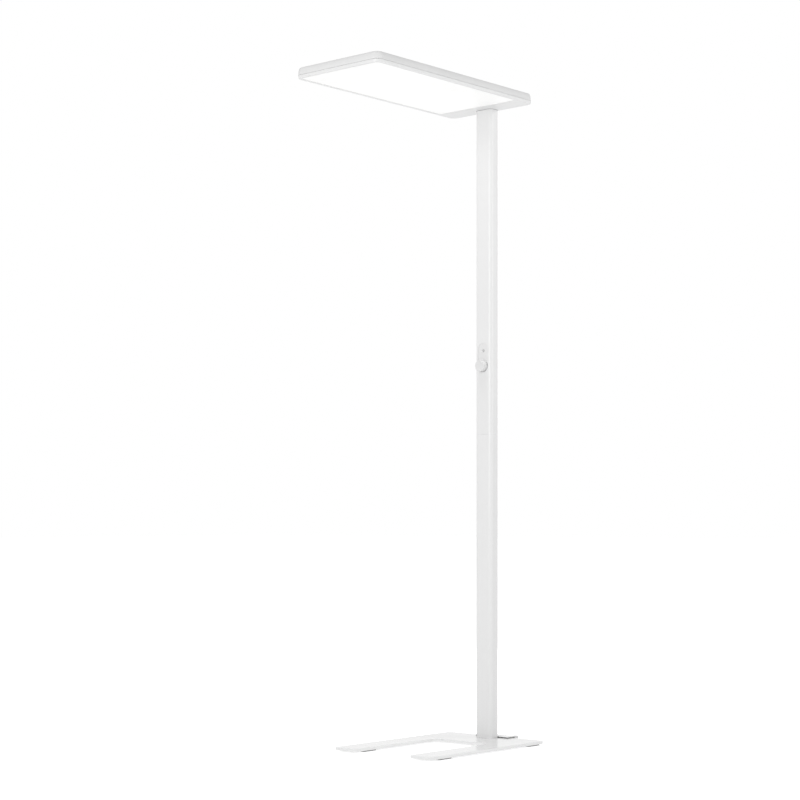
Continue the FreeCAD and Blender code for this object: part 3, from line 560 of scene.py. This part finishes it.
def finish(name, group, colour, settings, bump_height, dust=0.0, metallic=0.0, gloss=0.5):
    """Make a material: an effect group, then dust, then a bump, all feeding one Principled shader."""
    material = bpy.data.materials.new(name)
    material.use_nodes = True
    tree = material.node_tree
    shader = tree.nodes["Principled BSDF"]
    place = tree.nodes.new("ShaderNodeTexCoord")
    look = tree.nodes.new("ShaderNodeGroup")
    look.node_tree = group
    look.inputs["Colour"].default_value = colour
    for label, value in settings.items():
        look.inputs[label].default_value = value
    tree.links.new(place.outputs["Object"], look.inputs["Vector"])
    colour_output = look.outputs["Colour"]
    if dust > 0:
        film = tree.nodes.new("ShaderNodeGroup")
        film.node_tree = dust_effect
        film.inputs["Amount"].default_value = dust
        tree.links.new(place.outputs["Object"], film.inputs["Vector"])
        tree.links.new(colour_output, film.inputs["Colour"])
        colour_output = film.outputs["Colour"]
    tree.links.new(colour_output, shader.inputs["Base Color"])
    tree.links.new(look.outputs["Roughness"], shader.inputs["Roughness"])
    bump = tree.nodes.new("ShaderNodeBump")
    bump.inputs["Strength"].default_value = bump_strength
    bump.inputs["Distance"].default_value = bump_height
    tree.links.new(look.outputs["Height"], bump.inputs["Height"])
    tree.links.new(bump.outputs["Normal"], shader.inputs["Normal"])
    shader.inputs["Metallic"].default_value = metallic
    shader.inputs["Specular IOR Level"].default_value = gloss
    return material


def coat(name, colour, shine, relief=coat_relief, dust=0.0):
    """Make a powder-coated finish."""
    settings = {"Peel size": peel_size, "Cloud": cloud_share, "Shine": shine}
    return finish(name, powder_coat_effect, colour, settings, relief, dust)


def plastic(name, colour, shine, grain=0.0006, gloss=0.5):
    """Make a moulded plastic finish."""
    settings = {"Grain size": grain, "Shine": shine}
    return finish(name, moulded_effect, colour, settings, grain_relief, gloss=gloss)


def metal(name, colour, shine, line=0.0002):
    """Make a bare metal finish."""
    settings = {"Line size": line, "Shine": shine}
    return finish(name, brushed_effect, colour, settings, line_relief, metallic=1.0)


def sensor_plastic(name):
    """Make the sensor's lens: a milky middle within a ring of painted shade, by the distance from the lens's
    axis.
    """
    settings = {"Grain size": 0.0003, "Shine": 0.15}
    material = finish(name, moulded_effect, grey(0.7), settings, lens_relief)
    tree = material.node_tree
    place = tree.nodes.new("ShaderNodeTexCoord")
    parts = tree.nodes.new("ShaderNodeSeparateXYZ")
    tree.links.new(place.outputs["Object"], parts.inputs["Vector"])
    across = arithmetic(tree, "POWER", parts.outputs["X"], 2.0)
    up = arithmetic(tree, "POWER", arithmetic(tree, "SUBTRACT", parts.outputs["Z"], lens_z), 2.0)
    reach = arithmetic(tree, "SQRT", arithmetic(tree, "ADD", across, up))
    # Painted shade: the lens darkens towards its edge, standing in for the shade in the sensor's dish
    rim = ranged(tree, reach, lens_middle_radius, lens_painted_shade_radius, 0.0, lens_painted_shade_strength)
    shader = tree.nodes["Principled BSDF"]
    milky = shader.inputs["Base Color"].links[0].from_socket
    tree.links.new(blended(tree, rim, milky, grey(0.05)), shader.inputs["Base Color"])
    return material


def opal(name):
    """Make the luminous panel: an opal sheet with a fine pattern of cells, lit from behind."""
    settings = {"Grain size": 0.0018, "Shine": 0.42}
    material = finish(name, moulded_effect, grey(0.45), settings, panel_relief)
    tree = material.node_tree
    shader = tree.nodes["Principled BSDF"]
    place = tree.nodes.new("ShaderNodeTexCoord")
    pools = ranged(tree, noise(tree, place.outputs["Object"], 3.0, 1.0), 0.3, 0.7, 0.95, 1.0)
    glow = blended(tree, pools, (0.0, 0.0, 0.0, 1), (1.0, 1.0, 0.99, 1))
    tree.links.new(glow, shader.inputs["Emission Color"])
    shader.inputs["Emission Strength"].default_value = panel_emission
    return material


white_coat = coat("white_coat", grey(0.80), 0.26)
base_coat = coat("base_coat", grey(0.80), 0.12, relief=base_relief, dust=0.03)
head_coat = coat("head_coat", grey(0.80), 0.42)
white_plastic = plastic("white_plastic", grey(0.80), 0.42, 0.0005)
# Painted light: the lid is a lighter copy of white_plastic, lifting it against the shadow the column casts
# on it
lid_plastic_painted_light = plastic("lid_plastic_painted_light", grey(0.82), 0.15, 0.0005)
shell_plastic = plastic("shell_plastic", grey(0.79), 0.75, 0.0005, gloss=0.12)
control_plastic = plastic("control_plastic", grey(0.76), 0.45, 0.0004)
pale_plastic = plastic("pale_plastic", grey(0.74), 0.5)
black_plastic = plastic("black_plastic", grey(0.05), 0.5)
grey_plastic = plastic("grey_plastic", grey(0.62), 0.5)
dark_rubber = plastic("dark_rubber", grey(0.22), 0.75, 0.0008)
# Partly painted shade: the gasket's grey, lighter than dark_rubber, is set to the shade line of the joint
# below the head
neck_rubber_and_painted_shade = plastic("neck_rubber_and_painted_shade", grey(0.45), 0.7, 0.0008)
zinc_steel = metal("zinc_steel", (0.62, 0.63, 0.64, 1), 0.34)
bright_steel = metal("bright_steel", grey(0.66), 0.25)
raw_aluminium = metal("raw_aluminium", (0.74, 0.74, 0.75, 1), 0.42)
cast_aluminium = metal("cast_aluminium", (0.62, 0.62, 0.63, 1), 0.55, 0.0006)
white_sheet = coat("white_sheet", grey(0.84), 0.4)
light_board = plastic("light_board", grey(0.82), 0.4)
circuit_board = plastic("circuit_board", (0.03, 0.16, 0.07, 1), 0.4)
driver_case = plastic("driver_case", grey(0.78), 0.5)
black_jacket = plastic("black_jacket", grey(0.03), 0.45)
white_jacket = plastic("white_jacket", grey(0.78), 0.45)
lens_plastic = sensor_plastic("sensor_lens")
satin_cover = plastic("satin_cover", grey(0.82), 0.5, 0.0009)
opal_panel = opal("opal_panel")
finishes = {
    "white_coat": white_coat, "white_plastic": white_plastic, "control_plastic": control_plastic,
    "pale_plastic": pale_plastic, "black_plastic": black_plastic, "grey_plastic": grey_plastic,
    "dark_rubber": dark_rubber, "zinc_steel": zinc_steel, "bright_steel": bright_steel,
    "raw_aluminium": raw_aluminium, "cast_aluminium": cast_aluminium, "white_sheet": white_sheet,
    "light_board": light_board, "circuit_board": circuit_board, "driver_case": driver_case,
    "black_jacket": black_jacket, "white_jacket": white_jacket, "sensor_lens": lens_plastic,
    "satin_cover": satin_cover, "opal_panel": opal_panel,
}


def dress_solids():
    """Give every solid the finish of its slot. Finer surfaces then stand for most of the outer ones."""
    for subpart in frame["record"]["subparts"]:
        mesh = frame["nodes"][subpart["node"]].data
        mesh.materials.clear()
        mesh.materials.append(finishes[subpart["material_slot"]])


# ---- Base ----
def foot_screw_places():
    """Give the x of the two foot screws."""
    return [side * foot_screw_spread / 2 for side in (-1, 1)]


def make_base_plate():
    """The steel U: its outline with a rim section of two rounded edges, and two screw recesses below."""
    inner_x = base_high.x - leg_width
    bridge_y = column_y - base_bridge_reach
    corners = [
        (base_low.x, base_low.y), (-inner_x, base_low.y), (-inner_x, bridge_y), (inner_x, bridge_y),
        (inner_x, base_low.y), (base_high.x, base_low.y), (base_high.x, base_high.y),
        (base_low.x, base_high.y),
    ]
    radii = [base_corner_leg, base_corner_leg, base_corner_inner, base_corner_inner]
    radii += [base_corner_leg, base_corner_leg, base_corner_rear, base_corner_rear]
    rows = carried(rounded_outline(corners, radii), slab(base_low.z, base_high.z, base_edge))
    plate = surface("base_plate_skin", [(rows, False)])
    cutters = []
    for index, x in enumerate(foot_screw_places()):
        section = [(foot_screw_hole, -foot_screw_recess), (foot_screw_hole, foot_screw_recess)]
        cutter = turned(section) + np.array([x, column_y, base_low.z])
        cutters.append(surface("recess_%d" % index, [(cutter, False)]))
    carve(plate, cutters)
    complete(plate, base_coat, "lamp", "white_coat", "base_plate")


def make_foot_screws():
    """Two low screw heads in their recesses: a bevelled disc with a hexagon socket, drawn upright."""
    sheets = []
    height = foot_screw_recess - foot_screw_sink
    face = foot_screw_head - foot_screw_bevel
    for x in foot_screw_places():
        side = turned([(foot_screw_head, 0.0), (foot_screw_head, height - foot_screw_bevel), (face, height)])
        socket = hexagon_socket(foot_screw_flats, face, foot_screw_socket, height)
        rows = np.concatenate([side, socket[1:]])
        sheets.append((facing_down(rows, x, column_y, base_low.z + foot_screw_recess), False))
    complete(surface("foot_screw_heads", sheets), zinc_steel, "lamp", "zinc_steel", "foot_screws")


def pad_places():
    """Give the middle of each pad in plan."""
    x = (base_high.x - base_low.x - leg_width) / 2
    front_y = base_low.y + pad_front_inset + pad_length / 2
    rear_y = base_high.y - pad_rear_inset - pad_length / 2
    return [(side * x, y) for side in (-1, 1) for y in (front_y, rear_y)]


def pad_sheets(inset, low, high):
    """Give one rounded slab at each pad place."""
    half_x = pad_width / 2 - inset
    half_y = pad_length / 2 - inset
    sheets = []
    for x, y in pad_places():
        outline = rectangle(x - half_x, x + half_x, y - half_y, y + half_y, pad_corner - inset)
        sheets.append((carried(outline, slab(low, high, pad_edge)), False))
    return sheets


def make_pads():
    """The four pale carriers and the dark rubber soles below them."""
    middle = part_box("rubber_pads")[1].z
    carriers = surface("pad_carrier_skins", pad_sheets(0.0, middle, base_low.z))
    complete(carriers, pale_plastic, "lamp", "pale_plastic", "pad_carriers")
    soles = surface("rubber_soles", pad_sheets(pad_lip, 0.0, middle))
    complete(soles, dark_rubber, "lamp", "dark_rubber", "rubber_pads")


# ---- Cord entry ----
def make_cord_entry():
    """The black box: a flange on the plate and a deeper rear part behind it, then its white lid."""
    behind = base_high.y + entry_gap
    flange_top = base_high.z + entry_rim
    flange = carried(rectangle(entry_low.x, entry_high.x, entry_low.y, entry_high.y, entry_corner),
                     slab(base_high.z, flange_top, entry_edge))
    body = carried(rectangle(entry_low.x, entry_high.x, behind, entry_high.y, entry_corner),
                   slab(entry_low.z, base_high.z + entry_edge, entry_edge))
    box = surface("cord_entry_box_skin", [(flange, False), (body, False)])
    complete(box, black_plastic, "lamp", "black_plastic", "cord_entry_box")
    lid = carried(rectangle(lid_low.x, lid_high.x, lid_low.y, lid_high.y, entry_corner),
                  slab(flange_top, lid_high.z, entry_edge))
    cover = surface("cord_entry_lid", [(lid, False)])
    complete(cover, lid_plastic_painted_light, "lamp", "white_plastic", "cord_entry_cover")


def make_cord_gland():
    """The grey boot: a barrel, a long taper, a rounded tip and the bore, turned about its axis."""
    start = entry_high.y - column_y
    end = gland_high.y - column_y
    root = start - gland_root_depth
    root_radius = gland_bore + gland_root_wall
    radius = (gland_high.x - gland_low.x) / 2
    section = np.concatenate([
        [(gland_bore, root), (root_radius, root), (root_radius, start)],
        arc(radius - gland_edge, start + gland_edge, gland_edge, -90, 0, edge_steps),
        [(radius, start + gland_barrel)],
        arc(gland_tip - gland_tip_round, end - gland_tip_round, gland_tip_round, 10, 90, edge_steps),
        arc(gland_bore + gland_mouth_round, end - gland_mouth_round, gland_mouth_round, 90, 180, edge_steps),
        [(gland_bore, start + gland_bore_end)],
    ])
    height = (gland_low.z + gland_high.z) / 2
    middle_x = (gland_low.x + gland_high.x) / 2
    rows = facing_rear(turned(section), middle_x, height)
    boot = surface("cord_boot", [(rows, True)])
    complete(boot, grey_plastic, "lamp", "grey_plastic", "cord_gland")


# ---- Column ----
def column_outline(low, high):
    """Give the column's outline from a node's box."""
    return rectangle(low.x, high.x, low.y, high.y, column_corner)


def tube_section(low, high):
    """Give the closed section of the column's wall: outside up, inside down, the outer edges rounded."""
    return np.concatenate([slab(low, high, cut_edge), [(column_wall, high), (column_wall, low)]])


def capsule_outline(radius):
    """Give the control unit's capsule outline, its lower centre at the knob's axis.

    Its ends are a little less than fully round, so that the points of two arcs don't fall together.
    """
    return rectangle(-radius, radius, -radius, capsule_spread + radius, radius * nearly_full_round)


def set_screw_cutters(heights):
    """Give cutters for the rear set screws' holes."""
    cutters = []
    rear = upper_high.y - column_y
    radius = set_screw_radius + set_screw_clearance
    for index, z in enumerate(heights):
        rows = facing_rear(turned([(radius, rear - cutter_reach), (radius, rear + cutter_past)]), 0, z)
        cutters.append(surface("screw_hole_%d" % index, [(rows, False)]))
    return cutters


def make_lower_column():
    """The lower length: a tube with rounded ends."""
    section = tube_section(lower_low.z, lower_high.z)
    tube = surface("lower_column_skin", [(carried(column_outline(lower_low, lower_high), section), True)])
    carve(tube, set_screw_cutters(lower_set_heights))
    complete(tube, white_coat, "lamp", "white_coat", "lower_column")


def make_upper_column():
    """The upper length: the same tube, with the capsule cut-out in its front wall."""
    section = tube_section(upper_low.z, upper_high.z)
    tube = surface("upper_column_skin", [(carried(column_outline(upper_low, upper_high), section), True)])
    front = column_y - upper_low.y
    bar_section = [(0.0, front - cutter_reach), (0.0, front + cutter_past)]
    bar = carried(capsule_outline(capsule_radius), bar_section)
    cutter = surface("cut_out", [(facing_front(bar, knob_z), False)])
    carve(tube, [cutter] + set_screw_cutters(upper_set_heights))
    complete(tube, white_coat, "lamp", "white_coat", "upper_column")


def make_set_screws():
    """The four headless screws in the column's rear, each with a hexagon socket."""
    sheets = []
    rear = upper_high.y - column_y
    top = rear - set_screw_sink
    face = set_screw_radius - set_screw_bevel
    for z in lower_set_heights + upper_set_heights:
        side = turned([(set_screw_radius, rear - set_screw_depth), (set_screw_radius, top - set_screw_bevel),
                       (face, top)])
        socket = hexagon_socket(set_screw_flats, face, set_screw_socket, top)
        sheets.append((facing_rear(np.concatenate([side, socket[1:]]), 0, z), False))
    screws = surface("set_screw_heads", sheets)
    complete(screws, zinc_steel, "lamp", "zinc_steel", "column_screws")


# ---- Control unit ----
def make_control_plate():
    """The capsule plate: a slab with rounded front edges, less the knob's well and the sensor's dish."""
    back = column_y - plate_high.y
    outline = capsule_outline(capsule_radius - capsule_gap)
    top = arc(plate_edge, face_reach - plate_edge, plate_edge, 180, 90, edge_steps)
    section = np.concatenate([[(0.0, back)], top])
    plate = surface("control_plate_skin", [(facing_front(carried(outline, section), knob_z), False)])
    floor = face_reach - well_depth
    above = face_reach + cutter_past
    well_section = np.concatenate([
        [(capsule_radius, floor)],
        arc(capsule_radius + well_round, face_reach - well_round, well_round, 180, 90, edge_steps),
        [(capsule_radius + cutter_past, above)],
    ])
    well = surface("well", [(facing_front(turned(well_section), knob_z), False)])
    dish_section = [
        (dish_floor_radius, face_reach - dish_depth),
        (dish_floor_radius + dish_waist_spread, face_reach - dish_waist_depth),
        (dish_radius - dish_lip_inset, face_reach - dish_lip_depth),
        (dish_radius, face_reach + dish_lip_rise),
        (dish_radius, above),
    ]
    dish = surface("dish", [(facing_front(turned(dish_section), knob_z + sensor_rise), False)])
    carve(plate, [well, dish])
    complete(plate, control_plastic, "lamp", "control_plastic", "control_plate")


def make_sensor_lens():
    """The sensor's lens: a flange behind the plate and a dome of height d * (1 - (r / R) ** 2)."""
    back = column_y - lens_high.y
    top = column_y - lens_low.y
    radius = np.linspace(lens_radius, pole_radius, lens_rings)
    dome = np.stack([radius, top - lens_dome * (radius / lens_radius) ** 2], axis=1)
    section = np.concatenate([
        [(lens_flange_radius, back), (lens_flange_radius, back + lens_flange),
         (lens_radius, back + lens_flange), (lens_radius, top - lens_dome - lens_shoulder)],
        dome,
    ])
    lens = surface("sensor_dome", [(facing_front(turned(section), knob_z + sensor_rise), False)])
    complete(lens, lens_plastic, "lamp", "sensor_lens", "sensor_lens")


def make_knob():
    """The knob: skirt, side, rounded edge and a dish of depth d * (1 - (r / R) ** 2), turned."""
    back = column_y - knob_high.y
    front = column_y - knob_low.y
    radius = (knob_high.x - knob_low.x) / 2
    edge = arc(radius - knob_edge, front - knob_edge, knob_edge, 0, 90, fine_edge_steps)
    dish_reach = np.linspace(knob_dish_radius, pole_radius, knob_dish_rings)
    hollow = knob_dish_depth * (1 - (dish_reach / knob_dish_radius) ** 2)
    dish = np.stack([dish_reach, front - hollow], axis=1)
    skirt = arc(radius - knob_skirt_round, back + knob_skirt_round, knob_skirt_round, -90, 0, edge_steps)
    ceiling = back + knob_hollow
    section = np.concatenate([
        [(knob_bore, ceiling), (radius - knob_wall, ceiling), (radius - knob_wall, back)],
        skirt, edge, dish,
    ])
    rows = facing_front(turned(section, knob_turn_steps), knob_z)
    knob = surface("knob_skin", [(rows, False)], knob_crease_angle)
    complete(knob, control_plastic, "dial", "control_plastic", "knob")


# ---- Neck ----
def make_neck():
    """The gasket, whose grey also paints the shade of the joint below the head, and the collar that spreads
    towards the head.
    """
    ring = carried(column_outline(gasket_low, gasket_high), slab(gasket_low.z, gasket_high.z, gasket_edge))
    gasket = surface("gasket_ring", [(ring, False)])
    complete(gasket, neck_rubber_and_painted_shade, "lamp", "dark_rubber", "neck_gasket")
    outline = column_outline(upper_low, upper_high)
    share = np.linspace(0, 1, flare_rings)
    spread = collar_foot + (collar_spread - collar_foot) * share
    flare = np.stack([-spread, collar_low.z + (collar_high.z - collar_low.z) * share], axis=1)
    collar = surface("collar_skin", [(carried(outline, flare), False)])
    complete(collar, head_coat, "lamp", "white_plastic", "neck_collar")


# ---- Head ----
def head_outline():
    """Give the head's outline."""
    return rectangle(head_low.x, head_high.x, head_low.y, head_high.y, head_corner)


def opening_outline():
    """Give the outline of the opening for the luminous panel."""
    return rectangle(head_low.x + panel_border, head_high.x - panel_border, head_low.y + panel_border,
                     head_high.y - panel_rear_border, panel_corner)


def window_outline():
    """Give the outline of the window in the top."""
    return rectangle(head_low.x + window_border, head_high.x - window_border, head_low.y + window_border,
                     head_high.y - window_rear_border, window_corner)


def make_head_frame():
    """The lower frame: one closed section, part on the head's outline and part on the opening's."""
    bottom = head_low.z
    top = bottom + frame_rim_top
    tongue_top = head_high.z
    outer = np.concatenate([
        arc(frame_round, bottom + frame_round, frame_round, 270, 180, fine_edge_steps),
        arc(cut_edge, top - cut_edge, cut_edge, 180, 90, edge_steps),
        [(tongue_inset, top), (tongue_inset, tongue_top), (tongue_inset + tongue_wall, tongue_top),
         (tongue_inset + tongue_wall, bottom + panel_lip + panel_seat)],
    ])
    inner = np.concatenate([
        [(0.0, bottom + panel_lip)],
        arc(-lip_round, bottom + lip_round, lip_round, 0, -90, edge_steps),
    ])
    rows = np.concatenate([carried(head_outline(), outer), carried(opening_outline(), inner)])
    skin = surface("head_frame_skin", [(rows, True)])
    complete(skin, head_coat, "lamp", "white_coat", "head_frame")


def make_top_shell():
    """The upper shell: side, elliptic shoulder, top face, rebate, ledge and inner wall in one section."""
    low = shell_low.z
    high = shell_high.z
    seat = high - window_recess
    outer = np.concatenate([
        [(shell_wall, low)],
        arc(shell_foot_round, low + shell_foot_round, shell_foot_round, 270, 180, edge_steps),
        arc(shell_round_width, high - shell_round_height, shell_round_width, 180, 90, shoulder_steps,
            shell_round_height),
    ])
    rebate = np.concatenate([
        arc(-window_ledge - cut_edge, high - cut_edge, cut_edge, 90, 0, edge_steps),
        [(-window_ledge, seat), (0.0, seat), (0.0, seat - window_ledge_thickness),
         (-window_ledge - shell_wall, seat - window_ledge_thickness)],
    ])
    inside = [(shell_round_height, high - shell_wall), (shell_wall, high - shell_round_height)]
    rows = np.concatenate([carried(head_outline(), outer), carried(window_outline(), rebate),
                           carried(head_outline(), inside)])
    skin = surface("top_shell_skin", [(rows, True)])
    complete(skin, shell_plastic, "lamp", "white_coat", "top_shell")


def make_panels():
    """The luminous panel below and the satin cover above, each a slab with small edges."""
    panel_outline = rectangle(panel_low.x, panel_high.x, panel_low.y, panel_high.y,
                              panel_corner + panel_overlap)
    panel_rows = carried(panel_outline, slab(panel_low.z, panel_high.z, cut_edge))
    panel = surface("opal_sheet", [(panel_rows, False)])
    complete(panel, opal_panel, "lamp", "opal_panel", "diffuser_panel")
    cover_outline = rectangle(window_low.x, window_high.x, window_low.y, window_high.y,
                              window_corner + window_cover_outset)
    cover_rows = carried(cover_outline, slab(window_low.z, window_high.z, window_cover_edge))
    cover = surface("satin_sheet", [(cover_rows, False)])
    complete(cover, satin_cover, "lamp", "satin_cover", "uplight_cover")


# ---- Studio ----
def is_seen(tree):
    """Give 1 for a ray from the camera or one that a gloss or a clear piece sends on, and 0 otherwise."""
    path = tree.nodes.new("ShaderNodeLightPath")
    seen = arithmetic(tree, "MAXIMUM", path.outputs["Is Camera Ray"], path.outputs["Is Glossy Ray"])
    return arithmetic(tree, "MAXIMUM", seen, path.outputs["Is Transmission Ray"])


def make_floor():
    """A wide pale floor that keeps the lamp's soft shadow, with a little glow so that it shows as white."""
    reach = floor_reach
    corners = [(-reach, -reach, 0.0), (reach, -reach, 0.0), (reach, reach, 0.0), (-reach, reach, 0.0)]
    mesh = bpy.data.meshes.new("floor")
    mesh.from_pydata(corners, [], [(0, 1, 2, 3)])
    floor = bpy.data.objects.new("floor", mesh)
    bpy.context.scene.collection.objects.link(floor)
    material = bpy.data.materials.new("pale_floor")
    material.use_nodes = True
    tree = material.node_tree
    shader = tree.nodes["Principled BSDF"]
    shader.inputs["Base Color"].default_value = grey(floor_colour)
    shader.inputs["Roughness"].default_value = floor_roughness
    shader.inputs["Specular IOR Level"].default_value = 0.0
    lift = tree.nodes.new("ShaderNodeEmission")
    seen_lift = arithmetic(tree, "MULTIPLY", is_seen(tree), floor_lift)
    tree.links.new(arithmetic(tree, "ADD", seen_lift, floor_glow), lift.inputs["Strength"])
    both = tree.nodes.new("ShaderNodeAddShader")
    tree.links.new(shader.outputs["BSDF"], both.inputs[0])
    tree.links.new(lift.outputs["Emission"], both.inputs[1])
    tree.links.new(both.outputs["Shader"], tree.nodes["Material Output"].inputs["Surface"])
    mesh.materials.append(material)


def make_world():
    """A plain white room: it lights at the studio's level and shows as white."""
    world = bpy.data.worlds.new("white_room")
    bpy.context.scene.world = world
    world.use_nodes = True
    tree = world.node_tree
    background = tree.nodes["Background"]
    background.inputs["Color"].default_value = grey(1.0)
    lift = arithmetic(tree, "MULTIPLY", is_seen(tree), 1.0 - room_level)
    tree.links.new(arithmetic(tree, "ADD", lift, room_level), background.inputs["Strength"])


def make_panel_glow():
    """The light that the luminous panel throws down, from a plain light just below it."""
    light = bpy.data.lights.new("panel_glow", "AREA")
    light.shape = "RECTANGLE"
    light.size = panel_high.x - panel_low.x - 2 * panel_overlap
    light.size_y = panel_high.y - panel_low.y - 2 * panel_overlap
    light.spread = math.radians(glow_spread)
    light.energy = glow_power
    holder = bpy.data.objects.new("panel_glow", light)
    bpy.context.scene.collection.objects.link(holder)
    holder.location = (0.0, (panel_low.y + panel_high.y) / 2, panel_low.z - glow_drop)
    holder.visible_camera = False


def make_soft_light(name, place, target, width, power, shines):
    """A square soft light that looks at a target. One that doesn't shine shows in no reflection."""
    light = bpy.data.lights.new(name, "AREA")
    light.shape = "SQUARE"
    light.size = width
    light.energy = power
    holder = bpy.data.objects.new(name, light)
    bpy.context.scene.collection.objects.link(holder)
    holder.location = place
    aim = np.array(target, float) - np.array(place, float)
    flat = math.hypot(aim[0], aim[1])
    holder.rotation_euler = (math.atan2(flat, -aim[2]), 0.0, math.atan2(-aim[0], aim[1]))
    holder.visible_camera = False
    holder.visible_glossy = shines


# ---- The lamp, its lights and its camera ----
dress_solids()
make_base_plate()
make_foot_screws()
make_pads()
make_cord_entry()
make_cord_gland()
make_lower_column()
make_upper_column()
make_set_screws()
make_control_plate()
make_sensor_lens()
make_knob()
make_neck()
make_head_frame()
make_top_shell()
make_panels()
make_floor()
make_world()
for soft_light in soft_lights:
    make_soft_light(*soft_light)
make_panel_glow()

camera_data = bpy.data.cameras.new("camera")
camera_data.sensor_width = film_width
camera_data.lens = camera_lens
camera_data.shift_y = camera_shift
camera = bpy.data.objects.new("camera", camera_data)
bpy.context.scene.collection.objects.link(camera)
camera.location = camera_place
camera.rotation_euler = (math.pi / 2, 0.0, camera_turn)
bpy.context.scene.camera = camera
bpy.context.scene.view_settings.view_transform = "Standard"
